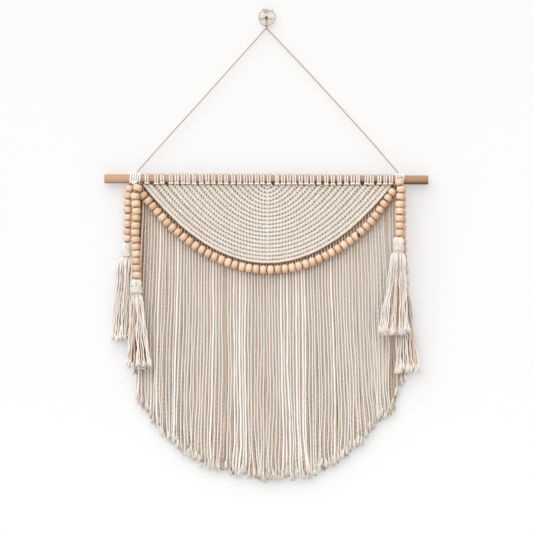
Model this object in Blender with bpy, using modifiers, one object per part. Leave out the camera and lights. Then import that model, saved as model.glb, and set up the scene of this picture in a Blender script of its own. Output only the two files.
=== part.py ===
"""Half-moon macrame wall hanging with wooden beads, on a round rod held by twine from a wall peg.

Metres, +Z up. The origin is the middle of the peg's back, on the plane of the wall; -Y is the front.
"""

import math
import random
from collections import namedtuple

import bmesh
import bpy
from mathutils import Matrix, Vector

NAME = "macrame_wall_hanging"
GAP = 0.0003  # clearance between pieces that touch
SEED = 11  # small unevenness of a thing knotted by hand

# Wall peg, its pin, and the twine loop around them
PEG_RADIUS = 0.0085
PEG_DEPTH = 0.0056
PEG_EDGE = 0.0012
PIN_RADIUS = 0.0009
PIN_HEAD_RADIUS = 0.0018
PIN_HEAD_DEPTH = 0.0008
TWINE = 0.0020
LOOP_X, LOOP_Z = 0.0010, 0.0004
LOOP_RADIUS = 0.01125
LOOP_Y = -(PEG_DEPTH + GAP + 0.5 * TWINE + 0.0001)
EYE_RADIUS = PIN_RADIUS + GAP + 0.5 * TWINE + 0.0002
TIE_RING_Z, TIE_EYE_Z = -0.0011, -0.0006  # the level strands from the ring to the eye
DROP_TOP_X, DROP_FOOT_X = 0.0009, 0.0008  # the two strands down from the eye
CROSSING_Z = -0.0130
CROSSING_SIZE = (0.0026, 0.0020, 0.0026)
TOP_KNOT_PLACE = (-0.0014, LOOP_Y, 0.0096)
TOP_KNOT_SIZE = (0.0058, 0.0020, 0.0026)
TAIL_END = (0.0102, LOOP_Y, 0.0116)

# Rod: a half-inch dowel, a little lower on the right
ROD_LENGTH = 0.450
ROD_RADIUS = 0.00635
ROD_CHAMFER = 0.0008
ROD_SIDES = 24
ROD_Y = -0.0105
ROD_Z = -0.2246
ROD_SLOPE = -0.0037

# Cord wrapped round both ends of the heading
WRAP_INSIDE = (ROD_RADIUS + GAP) / math.cos(math.pi / 16)
WRAP_VALLEY = 0.0079
WRAP_CREST = 0.0087
WRAP_TURNS = 5
LEFT_WRAP = (-0.1922, -0.1733)
RIGHT_WRAP = (0.1766, 0.1925)
RIGHT_KNOT_PLACE = (0.1862, -0.0228, -0.2208)
RIGHT_KNOT_SIZE = (0.0042, 0.0070, 0.0030)

# Twine legs from the crossing to the wraps: points on each route, chosen by eye
LEFT_LEG = (
    (-0.0012, LOOP_Y, -0.0153),
    (-0.0190, LOOP_Y - 0.0002, -0.0352),
    (-0.0560, -0.0077, -0.0765),
    (-0.0980, -0.0087, -0.1235),
    (-0.1420, -0.0097, -0.1720),
    (-0.1795, ROD_Y, -0.2143),
)
RIGHT_LEG = (
    (0.0012, LOOP_Y, -0.0153),
    (0.0200, LOOP_Y - 0.0002, -0.0348),
    (0.0590, -0.0077, -0.0762),
    (0.1020, -0.0087, -0.1232),
    (0.1460, -0.0097, -0.1720),
    (0.1836, ROD_Y, -0.2158),
)
LEG_POINTS = 14

# Knotted half-moon: rows of double half hitches under doubled cords on the rod
PANEL_X = 0.0018
PANEL_TOP = -0.2325
PANEL_HALF_WIDTH = 0.1743
PANEL_DROP = 0.1097
ROWS = 20
ROW_CREST = 0.0034
ROW_VALLEY = 0.0017
EDGE_HALF = 0.0016
PANEL_COLUMNS = 13
HEADING_TOP = 0.0067
HEADING_BOTTOM = 0.0112
HEADING_HALF_DEPTH = 0.0042
HEADING_FOOT = 0.0030
HEADING_INSET = 0.0004
LOOP_PLACES_LEFT = (  # the doubled cords' middles along x
    (-0.1658, -0.1527, -0.1445, -0.1322, -0.1243, -0.1155, -0.1083, -0.1000, -0.0903, -0.0815)
    + (-0.0732, -0.0639, -0.0556, -0.0460, -0.0374, -0.0290, -0.0212, -0.0130, -0.0051)
)
LOOP_PLACES_RIGHT = (
    (0.0038, 0.0151, 0.0233, 0.0315, 0.0390, 0.0480, 0.0558, 0.0638, 0.0731, 0.0834)
    + (0.0923, 0.1018, 0.1113, 0.1200, 0.1272, 0.1394, 0.1464, 0.1569, 0.1655, 0.1730)
)
LOOP_STEPS = 6
LOOP_START = math.radians(22)
LOOP_THICK = 0.0020
LOOP_GROOVE = 0.0011
LOOP_HALF_WIDTH = 0.0030

# Fringe: strands in two layers from a strip that follows the panel's edge
FRINGE_HALF_WIDTH = 0.1715
STRANDS = 78
BACK_STRAND_EVERY = 2
STRIP_CLEARANCE = 0.00045
STRIP_THICK = 0.0030
STRIP_FRONT, STRIP_BACK = -0.0104, -0.0046
STRAND = 0.0027
STRAND_TUFT = 0.0032
TUFT_LENGTH = 0.012
FRINGE_SPREAD = 1.078
FRINGE_SHIFT = 0.0022
FRINGE_ARC_X, FRINGE_ARC_Z, FRINGE_ARC_RADIUS = 0.0037, -0.4520, 0.1946
FRINGE_UNEVEN = 0.0035
STRAND_SHIFT = 0.0003
BACK_RAISE = 0.004  # the back layer is cut this much shorter

# Beads, threaded on cord
BEAD_SHOULDER = 0.0024
BEAD_SHOULDER_RADIUS = 0.00575
BEAD_NECK_RADIUS = 0.0026
BEAD_SIDES = 7
STRING_RADIUS = 0.0009
CORD_SHOWING = 0.0002  # string between the last bead and the tassel
SWAG_BEADS = 43
SWAG_Y = -0.0169
SWAG_ROUTE = (  # every sixth bead
    (-0.1707, SWAG_Y, -0.2471),
    (-0.1307, SWAG_Y, -0.2919),
    (-0.0809, SWAG_Y, -0.3277),
    (-0.0242, SWAG_Y, -0.3482),
    (0.0357, SWAG_Y, -0.3474),
    (0.0909, SWAG_Y, -0.3264),
    (0.1391, SWAG_Y, -0.2905),
    (0.1752, SWAG_Y, -0.2427),
)
SWAG_LEFT_END = ((-0.1738, -0.0125, -0.2331), (-0.1737, -0.0142, -0.2375))
SWAG_RIGHT_END = ((0.1773, -0.0142, -0.2377), (0.1782, -0.0125, -0.2346))

BeadString = namedtuple("BeadString", "name tie y marks")
BEAD_STRINGS = (  # marks: a bead's number and its x and z, with the beads between on straight lines
    BeadString(
        "left_outer",
        (-0.1897, -0.0150, -0.2321),
        -0.0150,
        ((0, -0.1898, -0.2378), (1, -0.1915, -0.2473), (7, -0.1924, -0.3068)),
    ),
    BeadString(
        "left_inner",
        (-0.1780, -0.0184, -0.2287),
        -0.0236,
        (
            (0, -0.1781, -0.2370),
            (1, -0.1816, -0.2482),
            (3, -0.1800, -0.2687),
            (6, -0.1815, -0.2984),
            (9, -0.1804, -0.3281),
            (12, -0.1788, -0.3573),
        ),
    ),
    BeadString(
        "right_front",
        (0.1845, -0.0300, -0.2231),
        -0.0303,
        ((0, 0.1843, -0.2284), (1, 0.1864, -0.2387), (3, 0.1848, -0.2592), (7, 0.1843, -0.2988)),
    ),
    BeadString(
        "right_back",
        (0.1876, -0.0148, -0.2334),
        -0.0173,
        (
            (0, 0.1880, -0.2420),
            (1, 0.1878, -0.2520),
            (5, 0.1880, -0.2919),
            (9, 0.1892, -0.3321),
            (11, 0.1916, -0.3522),
        ),
    ),
)

Tassel = namedtuple("Tassel", "name x y top end_x end_y end_z spread")
TASSELS = (
    Tassel("left_outer", -0.1938, -0.0150, -0.3122, -0.2003, -0.0121, -0.4545, 0.0150),
    Tassel("left_inner", -0.1795, -0.0236, -0.3626, -0.1758, -0.0245, -0.4890, 0.0195),
    Tassel("right_front", 0.1830, -0.0303, -0.3044, 0.1776, -0.0305, -0.4420, 0.0225),
    Tassel("right_back", 0.1913, -0.0173, -0.3578, 0.1970, -0.0173, -0.4950, 0.0180),
)
HEAD_HALF_WIDTH = 0.0080
HEAD_HALF_DEPTH = 0.0060
NECK_HALF_WIDTH = 0.0062
NECK_HALF_DEPTH = 0.0046
HEAD_LENGTH = 0.0110
BAND_LENGTH = 0.0090
SKIRT_HALF_DEPTH = 0.0056
SKIRT_FLARE, SKIRT_FLARE_LENGTH = 1.15, 0.003  # how much the locks spread just under the band
SKIRT_TURN = 0.55  # share of the drop at which a lock turns down
LOCKS_ACROSS = 4
LOCK_UNEVEN = 0.004
LOCK_GAP = 0.0004
OUTER_CELL = 0.75  # place of the outer cells' middles on a square of half side 1
BAND_STEPS = 12
BAND_CLEARANCE = 2.5 * GAP
BAND_INSET = 0.0012
BAND_PROFILE = ((0.0, 0.0), (0.0016, 0.2), (0.0011, 0.5), (0.0016, 0.8), (0.0, 1.0))  # out, share down

# Colours, from the photograph by eye
COTTON = (0.84, 0.79, 0.70)
PALE_WOOD = (0.80, 0.60, 0.42)
ROD_WOOD = (0.56, 0.34, 0.21)
TWINE_TAN = (0.56, 0.42, 0.29)
PEG_WHITE = (0.80, 0.80, 0.79)
PIN_BROWN = (0.10, 0.055, 0.03)


def rod_height(x):
    return ROD_Z + ROD_SLOPE * x


def clear_scene():
    for old in list(bpy.data.objects):
        bpy.data.objects.remove(old, do_unlink=True)


def new_collection(name):
    collection = bpy.data.collections.new(name)
    bpy.context.scene.collection.children.link(collection)
    return collection


def new_material(name, colour, roughness, metallic=0.0):
    material = bpy.data.materials.new(name)
    material.use_nodes = True
    shader = material.node_tree.nodes["Principled BSDF"]
    shader.inputs["Base Color"].default_value = (*colour, 1.0)
    shader.inputs["Roughness"].default_value = roughness
    shader.inputs["Metallic"].default_value = metallic
    return material


def add_part(name, mesh, material, collection, smooth_angle=math.radians(40)):
    part = bpy.data.objects.new(name, mesh)
    collection.objects.link(part)
    if material:
        mesh.materials.append(material)
    mesh.shade_smooth()
    mesh.set_sharp_from_angle(angle=smooth_angle)
    return part


def add_helper(name, mesh, cutters):
    """A shape that only a Boolean uses."""
    helper = add_part(name, mesh, None, cutters)
    helper.hide_render = True
    helper.display_type = "WIRE"
    return helper


def join_to(part, helper):
    union = part.modifiers.new("join_" + helper.name, "BOOLEAN")
    union.operation = "UNION"
    union.solver = "EXACT"
    union.object = helper


def finish(bm, name):
    bmesh.ops.recalc_face_normals(bm, faces=bm.faces)
    mesh = bpy.data.meshes.new(name)
    bm.to_mesh(mesh)
    bm.free()
    return mesh


def add_loft(bm, sections):
    """Skins closed outlines of equal length and closes both ends."""
    rings = [[bm.verts.new(point) for point in section] for section in sections]
    for ring, after in zip(rings, rings[1:]):
        for i, corner in enumerate(ring):
            follower = (i + 1) % len(ring)
            bm.faces.new((corner, ring[follower], after[follower], after[i]))
    bm.faces.new(rings[0])
    bm.faces.new(reversed(rings[-1]))


def loft(name, sections):
    bm = bmesh.new()
    add_loft(bm, sections)
    return finish(bm, name)


def ball(name, place, size, segments=7, rings=5):
    bm = bmesh.new()
    bmesh.ops.create_uvsphere(bm, u_segments=segments, v_segments=rings, radius=1.0)
    shape = Matrix.Translation(place) @ Matrix.Diagonal((*size, 1))
    bmesh.ops.transform(bm, matrix=shape, verts=bm.verts)
    return finish(bm, name)


def rod_between(name, start, end, radius, sides=6):
    start, end = Vector(start), Vector(end)
    turn = (end - start).to_track_quat("Z", "Y").to_matrix().to_4x4()
    bm = bmesh.new()
    bmesh.ops.create_cone(
        bm,
        cap_ends=True,
        segments=sides,
        radius1=radius,
        radius2=radius,
        depth=(end - start).length,
    )
    bmesh.ops.transform(bm, matrix=Matrix.Translation((start + end) / 2) @ turn, verts=bm.verts)
    return finish(bm, name)


def torus(name, place, radius, thickness, steps, sides):
    """A ring whose axis is Y, each section a small outline on a circle."""
    bm = bmesh.new()
    rings = []
    for step in range(steps):
        around = 2 * math.pi * step / steps
        out = Vector((math.cos(around), 0, math.sin(around)))
        ring = []
        for side in range(sides):
            turn = 2 * math.pi * (side + 0.5) / sides
            reach = radius + thickness * math.cos(turn)
            across = Vector((0, thickness * math.sin(turn), 0))
            ring.append(bm.verts.new(Vector(place) + reach * out + across))
        rings.append(ring)
    for ring, after in zip(rings, rings[1:] + rings[:1]):
        for i in range(sides):
            bm.faces.new((ring[i], ring[(i + 1) % sides], after[(i + 1) % sides], after[i]))
    return finish(bm, name)


def turned(name, profile, steps, material, collection):
    """A closed outline of (radius, height) turned about Z with a Screw."""
    mesh = bpy.data.meshes.new(name)
    points = [(radius, 0, height) for radius, height in profile]
    edges = [(i, (i + 1) % len(points)) for i in range(len(points))]
    mesh.from_pydata(points, edges, [])
    part = bpy.data.objects.new(name, mesh)
    collection.objects.link(part)
    mesh.materials.append(material)
    screw = part.modifiers.new("turn", "SCREW")
    screw.steps = steps
    screw.render_steps = steps
    screw.use_merge_vertices = True
    screw.merge_threshold = 0.00001
    screw.use_smooth_shade = True
    return part


def smooth_route(points, count):
    """Places evenly spread on one smooth curve through the points, by Catmull-Rom spans."""
    points = [Vector(point) for point in points]
    ends = [2 * points[0] - points[1]] + points + [2 * points[-1] - points[-2]]
    spans = len(points) - 1
    route = []
    for i in range(count):
        along = spans * i / (count - 1)
        span = min(int(along), spans - 1)
        t = along - span
        a, b, c, d = ends[span : span + 4]
        square = 2 * a - 5 * b + 4 * c - d
        cube = 3 * b - a - 3 * c + d
        route.append(0.5 * (2 * b + (c - a) * t + square * t**2 + cube * t**3))
    return route


def add_twine(name, points, material, collection):
    curve = bpy.data.curves.new(name, "CURVE")
    curve.dimensions = "3D"
    curve.bevel_depth = 0.5 * TWINE
    curve.bevel_resolution = 2
    curve.use_fill_caps = True
    spline = curve.splines.new("POLY")
    spline.points.add(len(points) - 1)
    for place, point in zip(points, spline.points):
        point.co = (*place, 1.0)
    curve.materials.append(material)
    part = bpy.data.objects.new(name, curve)
    collection.objects.link(part)
    return part


def make_peg(collection, white, brown):
    """A round peg whose flat back lies on the wall, its front edge rounded, and the pin in it."""
    bm = bmesh.new()
    bmesh.ops.create_cone(
        bm, cap_ends=True, segments=20, radius1=PEG_RADIUS, radius2=PEG_RADIUS, depth=PEG_DEPTH
    )
    front = [edge for edge in bm.edges if all(vert.co.z > 0 for vert in edge.verts)]
    bmesh.ops.bevel(bm, geom=front, offset=PEG_EDGE, segments=2, profile=0.5, affect="EDGES")
    peg = add_part("wall_peg", finish(bm, "wall_peg"), white, collection)
    peg.location = (0, -0.5 * PEG_DEPTH, 0)
    peg.rotation_euler = (math.pi / 2, 0, 0)

    pin_start = PEG_DEPTH + GAP
    pin_end = -LOOP_Y + 0.5 * TWINE + GAP
    profile = (
        (0, pin_end + PIN_HEAD_DEPTH),
        (PIN_HEAD_RADIUS, pin_end + 0.6 * PIN_HEAD_DEPTH),
        (PIN_HEAD_RADIUS, pin_end),
        (PIN_RADIUS, pin_end),
        (PIN_RADIUS, pin_start),
        (0, pin_start),
    )
    pin = turned("peg_pin", profile, 8, brown, collection)
    pin.rotation_euler = (math.pi / 2, 0, 0)


def make_loop(collection, cutters, tan):
    """The twine's ring round the peg, its strands to the pin, the knot on top and the crossing below."""
    ring = torus("hanger_loop", (LOOP_X, LOOP_Y, LOOP_Z), LOOP_RADIUS, 0.5 * TWINE, 18, 5)
    loop = add_part("hanger_loop", ring, tan, collection)
    half = 0.5 * TWINE
    pieces = [
        torus("eye", (0, LOOP_Y, 0), EYE_RADIUS, half, 10, 5),
        ball("crossing", (0, LOOP_Y, CROSSING_Z), CROSSING_SIZE),
        ball("top_knot", TOP_KNOT_PLACE, TOP_KNOT_SIZE),
        rod_between("tail", TOP_KNOT_PLACE, TAIL_END, 0.45 * TWINE, 5),
    ]
    for side, way in (("left", -1), ("right", 1)):
        on_ring = (LOOP_X + way * LOOP_RADIUS, LOOP_Y, TIE_RING_Z)
        on_eye = (way * EYE_RADIUS, LOOP_Y, TIE_EYE_Z)
        pieces.append(rod_between("tie_" + side, on_ring, on_eye, half, 5))
        top = (way * DROP_TOP_X, LOOP_Y, -0.8 * EYE_RADIUS)
        foot = (way * DROP_FOOT_X, LOOP_Y, CROSSING_Z)
        pieces.append(rod_between("drop_" + side, top, foot, half, 6))
    for piece in pieces:
        join_to(loop, add_helper("loop_" + piece.name, piece, cutters))


def make_rod(collection, wood):
    bm = bmesh.new()
    bmesh.ops.create_cone(
        bm, cap_ends=True, segments=ROD_SIDES, radius1=ROD_RADIUS, radius2=ROD_RADIUS, depth=ROD_LENGTH
    )
    rims = [edge for edge in bm.edges if edge.verts[0].co.z * edge.verts[1].co.z > 0]
    bmesh.ops.bevel(bm, geom=rims, offset=ROD_CHAMFER, segments=1, affect="EDGES")
    rod = add_part("wooden_rod", finish(bm, "wooden_rod"), wood, collection)
    rod.location = (0, ROD_Y, ROD_Z)
    rod.rotation_euler = (0, math.pi / 2 - ROD_SLOPE, 0)


def make_wrap(name, reach, collection, cotton):
    """Turns of cord side by side round the rod."""
    start, end = reach
    turn = (end - start) / WRAP_TURNS
    outside = [(WRAP_VALLEY, end - start)]
    for i in range(WRAP_TURNS):
        outside.append((WRAP_CREST, end - start - (i + 0.5) * turn))
        outside.append((WRAP_VALLEY, end - start - (i + 1) * turn))
    profile = [(WRAP_INSIDE, end - start), *outside, (WRAP_INSIDE, 0)]
    wrap = turned(name, profile, 16, cotton, collection)
    wrap.location = (start, ROD_Y, rod_height(start))
    wrap.rotation_euler = (0, math.pi / 2 - ROD_SLOPE, 0)
    return wrap


def fan_point(row, share, y):
    """A point of the half-moon: row is 0 at the middle of its top and 1 at its edge, share is -1 to 1."""
    x = PANEL_X + row * PANEL_HALF_WIDTH * share
    z = PANEL_TOP - row * PANEL_DROP * (1 - share**2)
    return Vector((x, ROD_Y + y, z))


def edge_height(x):
    """The half-moon's lower edge at x."""
    return PANEL_TOP - PANEL_DROP * (1 - ((x - PANEL_X) / PANEL_HALF_WIDTH) ** 2)


def edge_slope(x):
    return 2 * PANEL_DROP * (x - PANEL_X) / PANEL_HALF_WIDTH**2


def half_moon():
    """Ridged rows that fan out from the middle of the heading, the same on the back."""
    ridges = []
    for row in range(ROWS):
        ridges.append(((row + 0.5) / ROWS, ROW_CREST))
        ridges.append(((row + 1) / ROWS, ROW_VALLEY))
    ridges[-1] = (1.0, EDGE_HALF)
    sections = []
    for column in range(PANEL_COLUMNS + 1):
        share = 2 * column / PANEL_COLUMNS - 1
        middle_x = PANEL_X + 0.25 * ridges[0][0] * PANEL_HALF_WIDTH * share
        front = [Vector((middle_x, ROD_Y - ROW_VALLEY, PANEL_TOP))]
        back = [Vector((middle_x, ROD_Y + ROW_VALLEY, PANEL_TOP))]
        for row, half in ridges:
            front.append(fan_point(row, share, -half))
            back.append(fan_point(row, share, half))
        sections.append(front + back[::-1])
    return loft("macrame_panel", sections)


def heading_bar():
    """The row of knots under the rod, as one bar that follows the rod's slope."""
    outline = (
        (-HEADING_HALF_DEPTH, -HEADING_TOP),
        (HEADING_HALF_DEPTH, -HEADING_TOP),
        (HEADING_FOOT, -HEADING_BOTTOM),
        (-HEADING_FOOT, -HEADING_BOTTOM),
    )
    reach = PANEL_HALF_WIDTH - HEADING_INSET
    ends = (PANEL_X - reach, PANEL_X + reach)
    sections = [[Vector((x, ROD_Y + y, rod_height(x) + z)) for y, z in outline] for x in ends]
    return loft("heading_bar", sections)


def rod_loops():
    """Doubled cords over the rod: two ridges and a groove, from the bar's front round to its back."""
    step_angle = (2 * math.pi - 2 * LOOP_START) / LOOP_STEPS
    inside = (ROD_RADIUS + GAP) / math.cos(step_angle / 2)
    profile = (
        (0.0, inside),
        (-1.0, inside + LOOP_THICK),
        (0.0, inside + LOOP_GROOVE),
        (1.0, inside + LOOP_THICK),
    )
    bm = bmesh.new()
    for x in LOOP_PLACES_LEFT + LOOP_PLACES_RIGHT:
        sections = []
        for step in range(LOOP_STEPS + 1):
            angle = LOOP_START + step * step_angle
            across, up = -math.sin(angle), -math.cos(angle)
            sections.append(
                [
                    Vector((x + side * LOOP_HALF_WIDTH, ROD_Y + r * across, rod_height(x) + r * up))
                    for side, r in profile
                ]
            )
        add_loft(bm, sections)
    return finish(bm, "rod_loops")


def make_panel(collection, cutters, cotton):
    panel = add_part("macrame_panel", half_moon(), cotton, collection)
    join_to(panel, add_helper("heading_bar", heading_bar(), cutters))
    join_to(panel, add_helper("rod_loops", rod_loops(), cutters))


def new_faces(made):
    return [face for face in made["geom"] if isinstance(face, bmesh.types.BMFace)]


def grow(bm, face, centre, half_x, half_y):
    """Draws one face out to a level square at centre and returns the new end."""
    end = bmesh.ops.extrude_discrete_faces(bm, faces=[face])["faces"][0]
    middle = end.calc_center_median()
    for vert in end.verts:
        side_x = math.copysign(half_x, vert.co.x - middle.x)
        side_y = math.copysign(half_y, vert.co.y - middle.y)
        vert.co = (centre[0] + side_x, centre[1] + side_y, centre[2])
    return end


def fringe_end(x):
    """The lowest point of a strand that ends at x, on the arc of the cut."""
    return FRINGE_ARC_Z - math.sqrt(FRINGE_ARC_RADIUS**2 - (x - FRINGE_ARC_X) ** 2)


def make_fringe(collection, cotton):
    """A narrow strip just under the panel's edge, its lower side drawn out into two layers of strands."""
    uneven = random.Random(SEED + 1)
    columns = 2 * STRANDS
    layer = STRAND
    lines_y = (STRIP_FRONT, STRIP_FRONT + layer, STRIP_BACK - layer, STRIP_BACK)
    bm = bmesh.new()
    low, top = [], []
    for column in range(columns + 1):
        x = PANEL_X + FRINGE_HALF_WIDTH * (2 * column / columns - 1)
        steep = math.hypot(1, edge_slope(x))
        upper = edge_height(x) - STRIP_CLEARANCE * steep
        lower = upper - STRIP_THICK * steep
        low.append([bm.verts.new((x, y, lower)) for y in lines_y])
        top.append([bm.verts.new((x, y, upper)) for y in (STRIP_FRONT, STRIP_BACK)])
    front_faces, back_faces = [], []
    for column in range(columns):
        here, there = low[column], low[column + 1]
        cells = [bm.faces.new((here[i], there[i], there[i + 1], here[i + 1])) for i in range(3)]
        (front_faces if column % 2 else back_faces).append(cells[0 if column % 2 else 2])
        up, up_there = top[column], top[column + 1]
        bm.faces.new((up[0], up[1], up_there[1], up_there[0]))
        bm.faces.new((here[0], up[0], up_there[0], there[0]))
        bm.faces.new((here[3], there[3], up_there[1], up[1]))
    for lows, ups in ((low[0], top[0]), (low[-1], top[-1])):
        bm.faces.new((*lows, ups[1], ups[0]))
    bmesh.ops.recalc_face_normals(bm, faces=bm.faces)

    half = 0.5 * STRAND
    for face in front_faces:
        root = face.calc_center_median()
        x = PANEL_X + FRINGE_SHIFT + (root.x - PANEL_X) * FRINGE_SPREAD + uneven.uniform(-STRAND_SHIFT, STRAND_SHIFT)
        end = fringe_end(x) + uneven.uniform(-FRINGE_UNEVEN, FRINGE_UNEVEN)
        y = STRIP_FRONT + half
        low_end = grow(bm, face, (x, y, end + TUFT_LENGTH), half, half)
        grow(bm, low_end, (x, y, end), 0.5 * STRAND_TUFT, half)
    for face in back_faces[1::BACK_STRAND_EVERY]:
        root = face.calc_center_median()
        x = PANEL_X + FRINGE_SHIFT + (root.x - PANEL_X) * FRINGE_SPREAD
        end = fringe_end(x) + BACK_RAISE + uneven.uniform(-FRINGE_UNEVEN, FRINGE_UNEVEN)
        grow(bm, face, (x, STRIP_BACK - half, end), half, half)
    add_part("fringe", finish(bm, "fringe"), cotton, collection)


def bead_sections(centres, start, end):
    """Outlines along a string: two shoulders for each bead, a neck between beads, cord at both ends."""
    path = [*start, *centres, *end]
    sections = []

    def outline(place, along, radius):
        along = along.normalized()
        side = (Vector((0, 1, 0)) - along * along.y).normalized()
        up = along.cross(side)
        turns = [2 * math.pi * (i + 0.5) / BEAD_SIDES for i in range(BEAD_SIDES)]
        return [place + radius * (math.cos(turn) * side + math.sin(turn) * up) for turn in turns]

    for i, place in enumerate(start):
        sections.append(outline(place, path[i + 1] - place, STRING_RADIUS))
    first = centres[0] - centres[1]
    sections.append(outline(centres[0] + 0.5 * first, -first, BEAD_NECK_RADIUS))
    for i, centre in enumerate(centres):
        before = centres[i - 1] if i else centre + first
        after = centres[i + 1] if i + 1 < len(centres) else 2 * centre - before
        along = (after - before).normalized()
        for shoulder in (-BEAD_SHOULDER, BEAD_SHOULDER):
            sections.append(outline(centre + shoulder * along, along, BEAD_SHOULDER_RADIUS))
        sections.append(outline(0.5 * (centre + after), after - centre, BEAD_NECK_RADIUS))
    for i, place in enumerate(end):
        sections.append(outline(place, place - path[len(path) - len(end) + i - 1], STRING_RADIUS))
    return sections


def marked_places(y, marks):
    """Each bead's centre, from the first mark's bead to the last mark's."""
    centres = []
    for (number, x, z), (later, later_x, later_z) in zip(marks, marks[1:]):
        for i in range(later - number):
            share = i / (later - number)
            centres.append(Vector((x + (later_x - x) * share, y, z + (later_z - z) * share)))
    _, x, z = marks[-1]
    return centres + [Vector((x, y, z))]


def make_bead_strings(collection, wood):
    swag = smooth_route(SWAG_ROUTE, SWAG_BEADS)
    left_end = [Vector(point) for point in SWAG_LEFT_END]
    right_end = [Vector(point) for point in SWAG_RIGHT_END]
    mesh = loft("swag_beads", bead_sections(swag, left_end, right_end))
    add_part("swag_beads", mesh, wood, collection, math.radians(60))
    for string in BEAD_STRINGS:
        centres = marked_places(string.y, string.marks)
        below = [centres[-1] + 0.5 * (centres[-1] - centres[-2]) + Vector((0, 0, -CORD_SHOWING))]
        name = string.name + "_beads"
        mesh = loft(name, bead_sections(centres, [Vector(string.tie)], below))
        add_part(name, mesh, wood, collection, math.radians(60))


def round_off(x, y):
    """Moves a point of a square of half side 1 onto the disc inside it."""
    return x * math.sqrt(1 - 0.5 * y * y), y * math.sqrt(1 - 0.5 * x * x)


def make_tassel(tassel, collection, cotton):
    """A tied head, and locks drawn out of the cells of its lower side."""
    uneven = random.Random(SEED + len(tassel.name))
    neck_end = HEAD_LENGTH + BAND_LENGTH
    levels = (  # height below the top, half width, half depth
        (neck_end + SKIRT_FLARE_LENGTH, SKIRT_FLARE * NECK_HALF_WIDTH, SKIRT_FLARE * NECK_HALF_DEPTH),
        (neck_end, NECK_HALF_WIDTH, NECK_HALF_DEPTH),
        (HEAD_LENGTH, NECK_HALF_WIDTH, NECK_HALF_DEPTH),
        (0.45 * HEAD_LENGTH, HEAD_HALF_WIDTH, HEAD_HALF_DEPTH),
        (0.0, 0.35 * HEAD_HALF_WIDTH, 0.4 * HEAD_HALF_DEPTH),
    )
    bm = bmesh.new()
    bmesh.ops.create_grid(bm, x_segments=LOCKS_ACROSS, y_segments=LOCKS_ACROSS, size=1.0)
    cells = list(bm.faces)
    depth, half_x, half_y = levels[0]
    for vert in bm.verts:
        x, y = round_off(vert.co.x, vert.co.y)
        vert.co = (half_x * x, half_y * y, -depth)
    region = cells
    for before, (depth, half_x, half_y) in zip(levels, levels[1:]):
        grown = new_faces(bmesh.ops.extrude_face_region(bm, geom=region))
        for vert in {vert for face in grown for vert in face.verts}:
            vert.co = (vert.co.x * half_x / before[1], vert.co.y * half_y / before[2], -depth)
        if region is not cells:
            bmesh.ops.delete(bm, geom=region, context="FACES")
        region = grown
    bmesh.ops.recalc_face_normals(bm, faces=bm.faces)
    bmesh.ops.inset_individual(bm, faces=cells, thickness=LOCK_GAP)
    drop = tassel.top - tassel.end_z
    lock_x, lock_y = 0.62 * tassel.spread / LOCKS_ACROSS, 0.78 * SKIRT_HALF_DEPTH / LOCKS_ACROSS
    reach_x, reach_y = (tassel.spread - lock_x) / OUTER_CELL, (SKIRT_HALF_DEPTH - lock_y) / OUTER_CELL
    for face in cells:
        root = face.calc_center_median()
        share_x, share_y = root.x / levels[0][1], root.y / levels[0][2]
        end_x = tassel.end_x - tassel.x + share_x * reach_x
        end_y = tassel.end_y - tassel.y + share_y * reach_y
        end_z = -drop + uneven.uniform(0, 2 * LOCK_UNEVEN)
        middle_x = root.x + SKIRT_TURN * (end_x - root.x)
        middle_y = root.y + SKIRT_TURN * (end_y - root.y)
        mid_face = grow(bm, face, (middle_x, middle_y, -SKIRT_TURN * drop), 0.62 * lock_x, 0.8 * lock_y)
        grow(bm, mid_face, (end_x, end_y, end_z), lock_x, lock_y)
    part = add_part(tassel.name + "_tassel", finish(bm, tassel.name + "_tassel"), cotton, collection)
    part.location = (tassel.x, tassel.y, tassel.top)


def make_band(tassel, collection, cotton):
    """Cord wound round the tassel's neck."""
    inside = 1 / math.cos(math.pi / BAND_STEPS)
    turns = [2 * math.pi * (i + 0.5) / BAND_STEPS for i in range(BAND_STEPS)]
    sections = []
    for out, share in BAND_PROFILE:
        half_x = (NECK_HALF_WIDTH + BAND_CLEARANCE) * inside + out
        half_y = (NECK_HALF_DEPTH + BAND_CLEARANCE) * inside + out
        z = -HEAD_LENGTH - BAND_INSET - share * (BAND_LENGTH - 2 * BAND_INSET)
        sections.append([Vector((half_x * math.cos(turn), half_y * math.sin(turn), z)) for turn in turns])
    bm = bmesh.new()
    rings = [[bm.verts.new(point) for point in section] for section in sections]
    for ring, after in zip(rings, rings[1:] + rings[:1]):
        for i in range(BAND_STEPS):
            follower = (i + 1) % BAND_STEPS
            bm.faces.new((ring[i], ring[follower], after[follower], after[i]))
    part = add_part(tassel.name + "_band", finish(bm, tassel.name + "_band"), cotton, collection)
    part.location = (tassel.x, tassel.y, tassel.top)


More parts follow.
